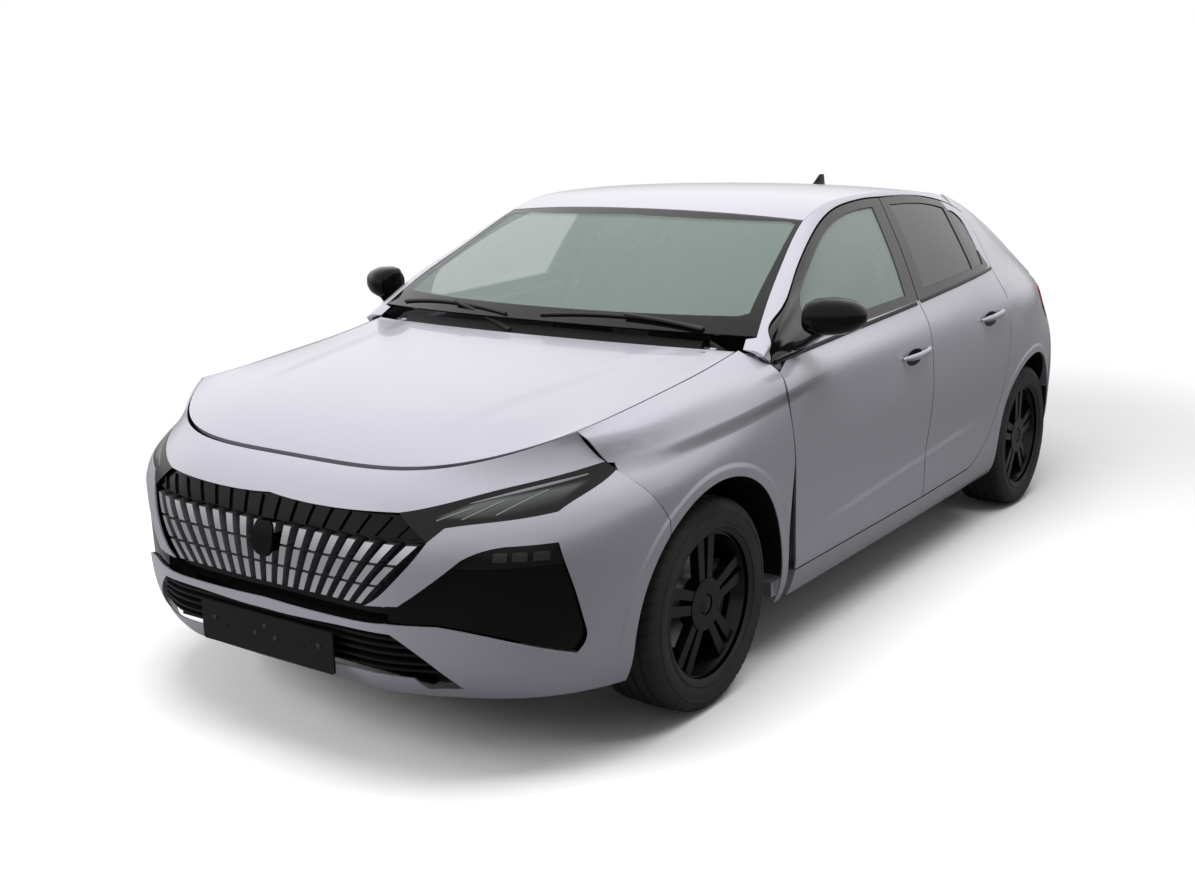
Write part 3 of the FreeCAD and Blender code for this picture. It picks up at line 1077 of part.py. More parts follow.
def make_cabin():
    """Dashboard, steering wheel, console and seats."""
    dash = box(-680, 680, along(-930) + FIT, along(-640), above(640), above(940))
    PARTS["dashboard"] = dash.makeFillet(50, [edge for edge in dash.Edges if edge.Length > 1000])
    centre = Vector(370, along(-560), above(800))
    tilt = Vector(0, 0.93, 0.37)
    ring = Part.makeTorus(175, 15, centre, tilt)
    hub = Part.makeCylinder(62, 50, centre - tilt * 30, tilt)
    spoke = rod(centre + Vector(-172, 0, 0), centre + Vector(172, 0, 0), 14)
    column = rod(centre - tilt * 20, centre - tilt * 92, 30)
    PARTS["steering_wheel"] = fused([ring, hub, spoke, column])
    console = box(-110, 110, along(-639), along(120), above(232) + FIT, above(520))
    PARTS["centre_console"] = console.makeFillet(30, [edge for edge in console.Edges if edge.Length > 200])
    cushion = box(130, 620, along(-330), along(190), above(330), above(470))
    cushion = cushion.makeFillet(45, cushion.Edges)
    base = box(170, 580, along(-250), along(120), above(232), above(345))
    back = box(140, 610, 0, 120, 0, 640)
    back = back.makeFillet(45, back.Edges)
    back.rotate(Vector(0, 0, 0), OUT, -22)
    back.translate(Vector(0, along(150), above(400)))
    PARTS["front_seats"] = pair(fused([cushion, base, back]))
    bench = box(-640, 640, along(600), along(1010), above(400) + 40, above(540))
    bench = bench.makeFillet(45, bench.Edges)
    bench_back = box(-600, 600, 0, 110, 0, 560)
    bench_back = bench_back.makeFillet(40, bench_back.Edges)
    bench_back.rotate(Vector(0, 0, 0), OUT, -24)
    bench_back.translate(Vector(0, along(960), above(430)))
    PARTS["rear_bench"] = fused([bench, bench_back])


def make_mirrors():
    """Door mirrors on their arms."""
    shell = box(890, 1031, along(-835), along(-690), above(1036), above(1148))
    shell = shell.makeFillet(40, shell.Edges)
    foot = box(846, 950, along(-805), along(-745), above(962), above(1052))
    mirror = shell.fuse(foot).cut(PARTS["door_front_left"])
    PARTS["mirror_left"] = mirror
    PARTS["mirror_right"] = mirrored(mirror)


def make_cowl():
    """Trough of the cowl between the bonnet's rear edge and the windscreen's foot."""
    rows = []
    for near, drop in ((0.0, 38.0), (0.35, 38.0), (0.7, 30.0), (1.0, 18.0)):
        row = []
        for share in spaced(-1.0, 1.0, 11):
            x = share * COWL_HALF
            bend = (abs(x) / BONNET_SIDE_X) ** 2.3
            front_y = -1084 + 132 * bend
            rear_y = SCREEN_FOOT_Y + 14 + (SCREEN_SIDE_FOOT_Y - SCREEN_FOOT_Y) * (abs(x) / 800) ** 2.3
            z = 1033 + 20 * near - 26 * bend - drop
            row.append(at(x, front_y + (rear_y - front_y) * near, z))
        rows.append(row)
    PARTS["cowl"] = skin(rows, 0, COWL_SKIN, UP)


def make_room():
    """Cut seats, liners and the steering column to the neighbours that they rest against."""
    for name, neighbours in (("arch_liners", ["rear_quarters", "underbody"]),
                             ("rear_bench", ["underbody", "arch_liners"]),
                             ("steering_wheel", ["dashboard"])):
        for neighbour in neighbours:
            PARTS[name] = solids_of(PARTS[name].cut(PARTS[neighbour]))


def main():
    arms = make_doors()
    make_side_frames(arms)
    make_wings()
    make_nose()
    rear_grid = make_tail()
    make_tailgate(rear_grid)
    bonnet_arms = make_bonnet()
    make_roof_and_screen()
    make_wheels()
    make_knuckles()
    make_chassis()
    make_liners()
    make_underbody(bonnet_arms)
    make_cabin()
    make_cowl()
    make_mirrors()
    make_room()
    os.makedirs("parts", exist_ok=True)
    for name, shape in PARTS.items():
        shape.exportStep("parts/%s.step" % name)
        print(name, shape.isValid(), len(shape.Solids), round(shape.Volume))


main()
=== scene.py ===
import math
import bpy
from mathutils import Matrix, Vector
from mathutils.bvhtree import BVHTree


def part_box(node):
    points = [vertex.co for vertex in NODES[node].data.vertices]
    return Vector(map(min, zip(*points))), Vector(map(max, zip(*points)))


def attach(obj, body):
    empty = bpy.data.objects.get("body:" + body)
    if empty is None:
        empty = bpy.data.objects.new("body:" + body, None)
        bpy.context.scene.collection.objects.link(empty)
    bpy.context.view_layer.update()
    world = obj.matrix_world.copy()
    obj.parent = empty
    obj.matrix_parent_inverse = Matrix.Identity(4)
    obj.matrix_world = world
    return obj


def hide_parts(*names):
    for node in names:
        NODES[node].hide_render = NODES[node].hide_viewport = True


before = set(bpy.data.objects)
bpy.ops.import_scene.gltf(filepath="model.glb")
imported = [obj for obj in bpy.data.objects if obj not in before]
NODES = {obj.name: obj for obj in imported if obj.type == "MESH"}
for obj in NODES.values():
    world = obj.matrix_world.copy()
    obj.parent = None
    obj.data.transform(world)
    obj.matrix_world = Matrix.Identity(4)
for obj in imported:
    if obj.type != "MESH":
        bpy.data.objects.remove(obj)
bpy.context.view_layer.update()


def middle(name):
    """Centre of a node's box."""
    low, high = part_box(name)
    return [(a + b) / 2 for a, b in zip(low, high)]


def around(count):
    """Angles of count even steps round a circle."""
    return [2 * math.pi * step / count for step in range(count)]


HUB_X, FRONT_Y, HUB_Z = middle("rim_front_left")
REAR_Y = middle("rim_rear_left")[1]
SIDES = (("left", 1), ("right", -1))


# Materials

def material(name, colour, rough=0.5, metallic=0.0, coat=0.0, sheen=0.0, transmission=0.0, alpha=1.0,
             gloss=0.5):
    """Plain material, with its uniform values set on the shader's own sockets."""
    mat = bpy.data.materials.new(name)
    mat.use_nodes = True
    shader = mat.node_tree.nodes["Principled BSDF"]
    shader.inputs["Base Color"].default_value = (*colour, 1)
    shader.inputs["Roughness"].default_value = rough
    shader.inputs["Metallic"].default_value = metallic
    shader.inputs["Coat Weight"].default_value = coat
    shader.inputs["Coat Roughness"].default_value = 0.03
    shader.inputs["Sheen Weight"].default_value = sheen
    shader.inputs["Transmission Weight"].default_value = transmission
    shader.inputs["Alpha"].default_value = alpha
    shader.inputs["Specular IOR Level"].default_value = gloss
    return mat


class Nodes:
    """Short hand for the node tree of one material."""

    def __init__(self, mat):
        self.tree = mat.node_tree
        self.shader = self.tree.nodes["Principled BSDF"]
        self.place = self.tree.nodes.new("ShaderNodeTexCoord").outputs["Object"]
        split = self.tree.nodes.new("ShaderNodeSeparateXYZ")
        self.tree.links.new(self.place, split.inputs[0])
        self.x, self.y, self.z = split.outputs

    def put(self, socket, value):
        if hasattr(value, "links"):
            self.tree.links.new(value, socket)
        else:
            socket.default_value = value

    def math(self, kind, a, b=0.0, c=0.0):
        node = self.tree.nodes.new("ShaderNodeMath")
        node.operation = kind
        for socket, value in zip(node.inputs, (a, b, c)):
            self.put(socket, value)
        return node.outputs[0]

    def step(self, value, start, end, low=0.0, high=1.0):
        node = self.tree.nodes.new("ShaderNodeMapRange")
        node.interpolation_type = "SMOOTHSTEP"
        for name, number in (("Value", value), ("From Min", start), ("From Max", end), ("To Min", low),
                             ("To Max", high)):
            self.put(node.inputs[name], number)
        return node.outputs["Result"]

    def line(self, u, v, a, b):
        """Distance from the line through a and b, positive on its left."""
        run, rise = b[0] - a[0], b[1] - a[1]
        length = math.hypot(run, rise)
        across, up = -rise / length, run / length
        level = self.math("MULTIPLY_ADD", u, across, -across * a[0] - up * a[1])
        return self.math("MULTIPLY_ADD", v, up, level)

    def inside(self, u, v, corners, soft=0.0015):
        """1 inside a convex outline given anticlockwise, 0 outside."""
        total = None
        for a, b in zip(corners, corners[1:] + corners[:1]):
            edge = self.step(self.line(u, v, a, b), -soft, soft)
            total = edge if total is None else self.math("MULTIPLY", total, edge)
        return total

    def noise(self, scale, detail=3.0):
        node = self.tree.nodes.new("ShaderNodeTexNoise")
        self.put(node.inputs["Vector"], self.place)
        node.inputs["Scale"].default_value = scale
        node.inputs["Detail"].default_value = detail
        return node.outputs["Fac"]

    def bump(self, height, strength=1.0, distance=1.0, before=None):
        node = self.tree.nodes.new("ShaderNodeBump")
        node.inputs["Strength"].default_value = strength
        node.inputs["Distance"].default_value = distance
        self.put(node.inputs["Height"], height)
        if before is not None:
            self.tree.links.new(before, node.inputs["Normal"])
        return node.outputs["Normal"]

    def mix(self, factor, a, b):
        node = self.tree.nodes.new("ShaderNodeMix")
        node.data_type = "RGBA"
        self.put(node.inputs["Factor"], factor)
        node.inputs[6].default_value = (*a, 1)
        node.inputs[7].default_value = (*b, 1)
        return node.outputs[2]


def grained(mat, scale, depth):
    """Adds a fine surface grain."""
    n = Nodes(mat)
    n.put(n.shader.inputs["Normal"], n.bump(n.noise(scale), 0.6, depth))
    return mat


PAINT = (0.370, 0.365, 0.415)
PAINT_ROUGHNESS, PAINT_METAL, PAINT_COAT = 0.30, 0.35, 0.5
FRAME_BLACK = (0.004, 0.004, 0.0045)
FRAME_ROUGHNESS = 0.14
PRINT_BLACK = (0.003, 0.003, 0.0035)

# Pressed lines of the side, as (y, z) ends in metres, and their depths
SHOULDER = ((-1.70, 0.815), (-0.80, 0.905))
SHOULDER_DEPTH = 0.022
DOOR_FOLD = ((-0.60, 0.400), (0.60, 0.482))
DOOR_FOLD_DEPTH = 0.007
ARCH_LIP_RADIUS = 0.435
ARCH_LIP_DEPTH = 0.005
ARCH_CENTRE_DROP = 0.02
# Black zones of the side, as convex outlines in (y, z)
PILLAR = [(-0.078, 1.026), (0.16, 1.042), (0.60, 1.066), (0.60, 1.392), (0.25, 1.399), (-0.05, 1.387)]
WINDOWS = [(-0.96, 0.975), (-0.078, 1.026), (0.16, 1.042), (0.85, 1.079), (0.99, 1.11), (0.965, 1.20),
           (0.90, 1.325), (0.85, 1.45), (-0.96, 1.45)]
MIRROR_PANEL = [(-0.98, 0.925), (-0.86, 0.958), (-0.80, 0.975), (-0.74, 1.02), (-0.98, 1.02)]


def paint(name):
    """Metallic body paint."""
    return material(name, PAINT, PAINT_ROUGHNESS, PAINT_METAL, PAINT_COAT)


def arch_lip(n, hub_y):
    """1 on the flat band round a wheel arch, 0 elsewhere."""
    away = n.math("SUBTRACT", n.y, hub_y)
    away = n.math("MULTIPLY", away, away)
    rise = n.math("SUBTRACT", n.z, HUB_Z - ARCH_CENTRE_DROP)
    reach = n.math("SQRT", n.math("MULTIPLY_ADD", rise, rise, away))
    edge = n.step(reach, ARCH_LIP_RADIUS + 0.01, ARCH_LIP_RADIUS - 0.01)
    return n.math("MULTIPLY", edge, n.step(reach, 0.30, 0.33))


def side_height(n):
    """Height of the pressed lines of the car's side."""
    shoulder = n.line(n.y, n.z, *SHOULDER)
    fade = n.math("MULTIPLY", n.step(n.y, -1.72, -1.45), n.step(n.y, -0.62, -0.90))
    crease = n.math("MULTIPLY", n.step(shoulder, -0.045, -0.004), fade)
    height = n.math("MULTIPLY", crease, SHOULDER_DEPTH)
    fold = n.line(n.y, n.z, *DOOR_FOLD)
    fade = n.math("MULTIPLY", n.step(n.y, -0.78, -0.45), n.step(n.y, 0.85, 0.45))
    below = n.math("MULTIPLY", n.step(fold, 0.030, -0.004), fade)
    height = n.math("MULTIPLY_ADD", below, DOOR_FOLD_DEPTH, height)
    for hub_y in (FRONT_Y, REAR_Y):
        height = n.math("MULTIPLY_ADD", arch_lip(n, hub_y), ARCH_LIP_DEPTH, height)
    return height


def side_paint(name, black=()):
    """Body paint with the pressed lines of the car's side, and black inside the given outlines."""
    mat = paint(name)
    n = Nodes(mat)
    n.put(n.shader.inputs["Normal"], n.bump(side_height(n)))
    if black:
        mask = n.inside(n.y, n.z, black[0])
        for outline in black[1:]:
            mask = n.math("MAXIMUM", mask, n.inside(n.y, n.z, outline))
        n.put(n.shader.inputs["Base Color"], n.mix(mask, PAINT, FRAME_BLACK))
        for socket, painted, masked in (("Metallic", PAINT_METAL, 0.0), ("Coat Weight", PAINT_COAT, 0.0),
                                        ("Roughness", PAINT_ROUGHNESS, FRAME_ROUGHNESS)):
            n.put(n.shader.inputs[socket], n.math("MULTIPLY_ADD", mask, masked - painted, painted))
    return mat


# Raised middle of the bonnet: its half width at y = 0, how it tapers forward, and the ridge beside it
RAISED_HALF, RAISED_TAPER, RAISED_HEIGHT = 0.7335, 0.173, 0.009
BONNET_RIDGE = ((0.70, -0.95), (0.64, -1.85))
RIDGE_HEIGHT = 0.004


def bonnet_paint():
    """Body paint with the bonnet's raised centre."""
    mat = paint("bonnet_paint")
    n = Nodes(mat)
    side = n.math("ABSOLUTE", n.x)
    edge = n.math("SUBTRACT", side, n.math("MULTIPLY_ADD", n.y, RAISED_TAPER, RAISED_HALF))
    raised = n.math("MULTIPLY", n.step(edge, 0.05, -0.03), n.step(n.y, -2.0, -1.6))
    outer = n.line(side, n.y, *BONNET_RIDGE)
    ridge = n.math("MULTIPLY", n.step(outer, -0.02, 0.05), n.step(n.y, -2.0, -1.4))
    height = n.math("MULTIPLY", raised, RAISED_HEIGHT)
    height = n.math("MULTIPLY_ADD", ridge, RIDGE_HEIGHT, height)
    n.put(n.shader.inputs["Normal"], n.bump(height))
    return mat


def glass(name, tint, alpha):
    """Tinted glass."""
    mat = material(name, tint, 0.02, alpha=alpha)
    mat.surface_render_method = "DITHERED"
    return mat


def screen_glass(name, tint, alpha, outline):
    """Glass with a black printed border outside the outline."""
    mat = material(name, tint, 0.02, alpha=alpha, gloss=0.35)
    n = Nodes(mat)
    clear = n.inside(n.math("ABSOLUTE", n.x), n.z, outline, 0.002)
    n.put(n.shader.inputs["Base Color"], n.mix(clear, PRINT_BLACK, tint))
    n.put(n.shader.inputs["Alpha"], n.math("MULTIPLY_ADD", clear, alpha - 1.0, 1.0))
    return mat


LENS_BLACK = (0.006, 0.006, 0.007)
LENS_GREY = (0.10, 0.105, 0.105)
REFLECTOR = [(0.545, 0.712), (0.66, 0.712), (0.765, 0.733), (0.785, 0.775), (0.62, 0.748)]
# Slanted line below which the grey reflector patch fades to black: painted shade on its lower part
REFLECTOR_PAINTED_SHADE = ((0.55, 0.700), (0.77, 0.760))


def lens(name):
    """Black lamp lens."""
    return material(name, LENS_BLACK, 0.05, gloss=0.22)


def lamp_lens():
    """Dark lamp lens, a little lighter inside its black rim, with painted shade on the lower part of that
    lighter patch.
    """
    mat = lens("lamp_lens")
    n = Nodes(mat)
    side = n.math("ABSOLUTE", n.x)
    reflector = n.inside(side, n.z, REFLECTOR, 0.006)
    # Painted shade: the reflector patch stays grey above the slanted line and turns black below it
    shade = n.step(n.line(side, n.z, *REFLECTOR_PAINTED_SHADE), -0.03, 0.03)
    colour = n.mix(n.math("MULTIPLY", reflector, shade), LENS_BLACK, LENS_GREY)
    n.put(n.shader.inputs["Base Color"], colour)
    return mat


def tyre_rubber():
    """Rubber with a fine grain and uneven wear."""
    mat = material("tyre_rubber", (0.022, 0.022, 0.022), 0.75, gloss=0.3)
    n = Nodes(mat)
    n.put(n.shader.inputs["Normal"], n.bump(n.noise(500), 0.4, 0.0004))
    n.put(n.shader.inputs["Roughness"], n.step(n.noise(9), 0.3, 0.7, 0.66, 0.82))
    return mat


def cloth(name, colour):
    """Woven cloth of the seats."""
    mat = material(name, colour, 0.9, sheen=0.3)
    n = Nodes(mat)
    n.put(n.shader.inputs["Normal"], n.bump(n.noise(45), 0.3, 0.0008))
    n.put(n.shader.inputs["Roughness"], n.step(n.noise(60), 0.3, 0.7, 0.82, 0.95))
    return mat


# Clear part of the windscreen, as half of it in (x, z)
SCREEN_CLEAR = [(-0.01, 1.092), (0.69, 1.092), (0.715, 1.10), (0.625, 1.345), (0.60, 1.353), (-0.01, 1.366)]

M = {
    "paint": side_paint("body_paint"),
    "door_paint": side_paint("door_paint", (WINDOWS, MIRROR_PANEL)),
    "frame_paint": side_paint("frame_paint", (PILLAR,)),
    "bonnet_paint": bonnet_paint(),
    "roof_paint": paint("roof_paint"),
    "gloss": material("gloss_black", (0.003, 0.003, 0.0033), 0.10, gloss=0.14),
    "plastic": grained(material("black_plastic", (0.006, 0.006, 0.0065), 0.5, gloss=0.14), 900, 0.0003),
    "clear": glass("clear_glass", (0.32, 0.38, 0.36), 0.40),
    "privacy": glass("privacy_glass", (0.045, 0.046, 0.050), 0.90),
    "screen": screen_glass("screen_glass", (0.22, 0.27, 0.25), 0.33, SCREEN_CLEAR),
    "lamp": lamp_lens(),
    "lens": lens("slim_lens"),
    "light_bar": material("light_bar", (0.16, 0.165, 0.18), 0.18, 0.3),
    "cell": material("lamp_cell", (0.035, 0.036, 0.04), 0.15, 0.3),
    "tail": material("tail_lens", (0.30, 0.004, 0.010), 0.12, gloss=0.25),
    "tail_dark": material("tail_dark", (0.060, 0.002, 0.004), 0.10, gloss=0.25),
    "silver": material("bar_silver", (0.56, 0.56, 0.59), 0.28, 0.9, 0.3),
    "wheel": material("wheel_black", (0.005, 0.005, 0.0055), 0.25, gloss=0.18),
    "tyre": tyre_rubber(),
    "iron": grained(material("disc_iron", (0.34, 0.34, 0.35), 0.38, 0.9), 300, 0.0003),
    "steel": material("steel", (0.42, 0.42, 0.43), 0.35, 0.9),
    "chassis": grained(material("chassis_black", (0.03, 0.03, 0.032), 0.5), 200, 0.0005),
    "engine": grained(material("engine_metal", (0.32, 0.32, 0.33), 0.5, 0.7), 120, 0.001),
    "exhaust": grained(material("exhaust_steel", (0.35, 0.33, 0.31), 0.4, 0.9), 150, 0.0006),
    "cabin": grained(material("cabin_plastic", (0.035, 0.035, 0.037), 0.6), 700, 0.0003),
    "cabin_light": grained(material("cabin_light", (0.06, 0.06, 0.065), 0.6), 700, 0.0003),
    "rubber": material("seal_rubber", (0.012, 0.012, 0.012), 0.6),
    "screen_black": material("display", (0.006, 0.006, 0.007), 0.06, 0.0, 0.5),
    "mirror": material("mirror_silver", (0.8, 0.8, 0.8), 0.02, 1.0),
    "cloth": cloth("seat_cloth", (0.045, 0.045, 0.050)),
}

LOOKS = {
    "side_frames": "frame_paint", "rear_quarters": "paint", "front_wings": "paint", "front_bumper": "paint",
    "rear_bumper": "paint", "roof_panel": "roof_paint", "bonnet": "bonnet_paint", "tailgate": "roof_paint",
    "headlamps": "lamp", "slim_lamps": "lens", "bumper_corner_trims": "gloss", "grille": "gloss",
    "grille_bars": "silver", "grille_strip": "gloss", "sensor_cover": "gloss", "plate_carrier": "plastic",
    "lower_grille": "plastic", "rear_valance": "plastic", "tail_lamps": "tail", "windscreen": "screen",
    "cowl": "plastic", "tailgate_glass": "privacy", "front_subframe": "chassis", "rear_axle": "chassis",
    "engine": "engine", "exhaust": "exhaust", "arch_liners": "plastic", "underbody": "chassis",
    "dashboard": "cabin", "steering_wheel": "cabin", "centre_console": "cabin", "front_seats": "cloth",
    "rear_bench": "cloth",
}
PREFIXES = [("door_glass_front", "clear"), ("door_glass_rear", "privacy"), ("door_", "door_paint"),
            ("tyre", "tyre"), ("rim", "wheel"), ("brake", "iron"), ("knuckle", "chassis"),
            ("mirror", "gloss")]


def look_of(name):
    """Material of a CAD node."""
    if name in LOOKS:
        return M[LOOKS[name]]
    for prefix, look in PREFIXES:
        if name.startswith(prefix):
            return M[look]
    return M["plastic"]


for name, node in NODES.items():
    node.data.materials.clear()
    node.data.materials.append(look_of(name))


# Helpers for shapes

def add(name, points, faces, look, body, angle=35):
    """Mesh piece that rides on a body."""
    mesh = bpy.data.meshes.new(name)
    mesh.from_pydata([tuple(p) for p in points], [], faces)
    mesh.validate()
    mesh.shade_smooth()
    mesh.set_sharp_from_angle(angle=math.radians(angle))
    mesh.materials.append(M[look])
    piece = bpy.data.objects.new(name, mesh)
    bpy.context.scene.collection.objects.link(piece)
    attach(piece, body)
    return piece


def joined(parts):
    """(points, faces) of several (points, faces) together."""
    points, faces = [], []
    for more, sides in parts:
        start = len(points)
        points += more
        faces += [[start + index for index in side] for side in sides]
    return points, faces


def loft(rings, closed=True, caps=True):
    """Skin over rings of equally many points."""
    count = len(rings[0])
    points = [Vector(p) for ring in rings for p in ring]
    faces = []
    last = count if closed else count - 1
    for row in range(len(rings) - 1):
        for index in range(last):
            after = (index + 1) % count
            faces.append([row * count + index, row * count + after, (row + 1) * count + after,
                          (row + 1) * count + index])
    if caps:
        faces.append(list(range(count))[::-1])
        faces.append([len(points) - count + index for index in range(count)])
    return points, faces


def block(low, high, bevel=0.0, steps=2):
    """Box between two corners, its edges rounded if bevel is given."""
    size = [(h - l) / 2 for l, h in zip(low, high)]
    mid = [(h + l) / 2 for l, h in zip(low, high)]
    if not bevel:
        signs = [(-1, -1), (1, -1), (1, 1), (-1, 1)]
        rings = [[(mid[0] + sx * size[0], mid[1] + sy * size[1], mid[2] + sz * size[2]) for sx, sy in signs]
                 for sz in (-1, 1)]
        return loft(rings)
    rings = []
    for sign, inset in ((-1, 1.0), (-1, 0.0), (1, 0.0), (1, 1.0)):
        z = mid[2] + sign * (size[2] - (0 if inset else bevel))
        a, b = size[0] - inset * bevel - bevel, size[1] - inset * bevel - bevel
        ring = []
        for corner, (sx, sy) in enumerate(((1, 1), (-1, 1), (-1, -1), (1, -1))):
            for part in range(steps + 1):
                angle = math.pi / 2 * (corner + part / steps)
                ring.append((mid[0] + sx * a + bevel * math.cos(angle),
                             mid[1] + sy * b + bevel * math.sin(angle), z))
        rings.append(ring)
    return loft(rings)


def sweep(path, ups, section, widths=None):
    """Carries a section (across, up) along a path; ups are the directions away from the surface."""
    path = [Vector(p) for p in path]
    rings = []
    for index, here in enumerate(path):
        along = (path[min(index + 1, len(path) - 1)] - path[max(index - 1, 0)]).normalized()
        up = Vector(ups[index])
        up = (up - along * up.dot(along)).normalized()
        across = along.cross(up)
        width = widths[index] if widths else 1.0
        rings.append([here + across * a * width + up * b for a, b in section])
    return loft(rings)


def strip_section(width, height, foot=-0.001):
    """Flat strip with chamfered upper edges, its foot a little below the surface."""
    w, side = width / 2, height * 0.6
    return [(-w, foot), (w, foot), (w, side), (w * 0.6, height), (-w * 0.6, height), (-w, side)]


def ring_of(centre, a, b, count):
    """Level ellipse round a centre."""
    x, y, z = centre
    return [(x + a * math.cos(t), y + b * math.sin(t), z) for t in around(count)]


def curve(points, count):
    """Smooth line through the points."""
    points = [Vector(p) for p in points]
    out = []
    spans = len(points) - 1
    for index in range(count):
        t = index / (count - 1) * spans
        k = min(int(t), spans - 1)
        f = t - k
        a, b = points[max(k - 1, 0)], points[k]
        c, d = points[k + 1], points[min(k + 2, spans)]
        out.append(0.5 * ((2 * b) + (c - a) * f + (2 * a - 5 * b + 4 * c - d) * f * f
                          + (3 * b - a - 3 * c + d) * f ** 3))
    return out


def tree(*names):
    """Surface of CAD nodes for casting rays on."""
    meshes = [NODES[name].data for name in names]
    return BVHTree.FromPolygons(*joined([([v.co.copy() for v in mesh.vertices],
                                          [list(p.vertices) for p in mesh.polygons]) for mesh in meshes]))


def cast(surface, start, way):
    """First point of the surface along a ray, with the normal that faces the start."""
    place, normal, _, _ = surface.ray_cast(Vector(start), Vector(way))
    if place is None:
        return None, None
    if normal.dot(Vector(way)) > 0:
        normal = -normal
    return place, normal


def on_side(surface, y, z, sign=1):
    return cast(surface, (sign * 1.6, y, z), (-sign, 0, 0))


def on_front(surface, x, z):
    return cast(surface, (x, -3, z), (0, 1, 0))


def on_back(surface, x, z):
    return cast(surface, (x, 3, z), (0, -1, 0))


def on_top(surface, x, y):
    return cast(surface, (x, y, 3), (0, 0, -1))


def line_on(project, surface, points, section, widths=None, **more):
    """Section carried along a line of two-coordinate points laid on a surface."""
    hits = [project(surface, u, v, **more) for u, v in points]
    hits = [hit for hit in hits if hit[0] is not None]
    return sweep([place for place, _ in hits], [normal for _, normal in hits], section, widths)


def patch_on(project, surface, outline, lift=0.001, rings=5, **more):
    """Thin cover inside a star-shaped outline laid on a surface."""
    count = len(outline)
    mid = [sum(p[k] for p in outline) / count for k in (0, 1)]
    points, faces = [], []
    for ring in range(rings + 1):
        share = 1 - ring / rings
        for u, v in outline:
            u, v = mid[0] + (u - mid[0]) * share, mid[1] + (v - mid[1]) * share
            place, normal = project(surface, u, v, **more)
            points.append(place + normal * lift)
    for ring in range(rings):
        for index in range(count):
            after = (index + 1) % count
            faces.append([ring * count + index, ring * count + after, (ring + 1) * count + after,
                          (ring + 1) * count + index])
    return points, faces


def mirrored(part):
    """Mirror image in X."""
    points, faces = part
    return [Vector((-p[0], p[1], p[2])) for p in points], [side[::-1] for side in faces]


def both(part):
    """A part of the left side together with its mirror image."""
    return joined([part, mirrored(part)])


# Wheels

TREAD_RADIUS = 0.3165
TREAD_CROWN = 0.4416
GROOVES = (-0.058, -0.019, 0.019, 0.058)
GROOVE_DEPTH = 0.007
# Side of the tyre as (x from its middle, radius), from the bead outwards
SIDE_WALL = [(0.0985, 0.2155), (0.1045, 0.222), (0.108, 0.236), (0.1105, 0.250), (0.1118, 0.262),
             (0.1112, 0.276), (0.1085, 0.290), (0.1035, 0.3015), (0.097, 0.3085), (0.088, 0.3130)]
# Slots across the tread as (x from, x to, depth), beside the side wall and in the ribs
OUTER_SLOT = (0.062, 0.104, 0.004)
RIB_SLOT = (0.022, 0.056, 0.003)
SLOT_SPACING = 6
SLOT_SWEEP = 2.8


def tyre(sign, hub_y):
    """Road tyre with tread grooves and slots."""
    tread = []
    for centre in GROOVES:
        for shift, deep in ((-0.0062, False), (-0.0050, True), (0.0050, True), (0.0062, False)):
            x = centre + shift
            tread.append((x, TREAD_RADIUS - TREAD_CROWN * x * x - (GROOVE_DEPTH if deep else 0), deep))
    profile = [(-x, r, False) for x, r in SIDE_WALL] + tread + [(x, r, False) for x, r in SIDE_WALL[::-1]]
    rings = []
    for step, angle in enumerate(around(288)):
        ring = []
        for x, radius, deep in profile:
            outer = abs(x)
            if step % SLOT_SPACING == 0 and OUTER_SLOT[0] < outer < OUTER_SLOT[1] and radius > 0.300:
                radius -= OUTER_SLOT[2]
            if step % SLOT_SPACING == SLOT_SPACING // 2 and RIB_SLOT[0] < outer < RIB_SLOT[1] and not deep:
                radius -= RIB_SLOT[2]
            swept = angle + SLOT_SWEEP * x * x
            ring.append((sign * HUB_X + x, hub_y + radius * math.sin(swept),
                         HUB_Z + radius * math.cos(swept)))
        rings.append(ring)
    rings.append(rings[0])
    return loft(rings, closed=False, caps=False)


def lathe(profile, hub_y, sign, count=48):
    """Turns (x from the hub centre, radius) about the wheel's axis."""
    rings = [[(sign * (HUB_X + x), hub_y + r * math.sin(t), HUB_Z + r * math.cos(t)) for x, r in profile]
             for t in around(count) + [2 * math.pi]]
    return loft(rings, closed=False, caps=False)


BOLT_CIRCLE, BOLT_RADIUS, BOLT_COUNT = 0.054, 0.0085, 5


def wheel_bolt(sign, hub_y, face, angle):
    """Six-sided bolt head on the rim; face is the rim's outer face."""
    y, z = hub_y + BOLT_CIRCLE * math.sin(angle), HUB_Z + BOLT_CIRCLE * math.cos(angle)
    rings = []
    for x, size in ((face - 0.060, 1), (face - 0.030, 1), (face - 0.028, 0.8)):
        r = size * BOLT_RADIUS
        rings.append([(sign * (HUB_X + x), y + r * math.cos(t), z + r * math.sin(t)) for t in around(6)])
    return loft(rings)


# Inner plate, outer plate and bridge of the caliper, as x from, x to, radius from, radius to
CALIPER = ((0.765, 0.773, 0.085, 0.156), (0.819, 0.826, 0.085, 0.156), (0.765, 0.826, 0.147, 0.159))
CALIPER_START, CALIPER_STEP = 52, 5.5


def caliper(sign, hub_y, way):
    """Brake caliper over the disc, behind the hub for way 1 and ahead of it for -1."""
    plates = []
    for x0, x1, r0, r1 in CALIPER:
        rings = []
        for step in range(13):
            angle = way * math.radians(CALIPER_START + step * CALIPER_STEP)
            rings.append([(sign * x, hub_y + r * math.sin(angle), HUB_Z + r * math.cos(angle))
                          for x, r in ((x0, r0), (x1, r0), (x1, r1), (x0, r1))])
        plates.append(loft(rings))
    return joined(plates)


RIBS = ([(0.1085, 0.232), (0.1105, 0.2335), (0.1105, 0.2365), (0.1088, 0.238)],
        [(0.1112, 0.277), (0.1128, 0.2785), (0.1112, 0.281)])

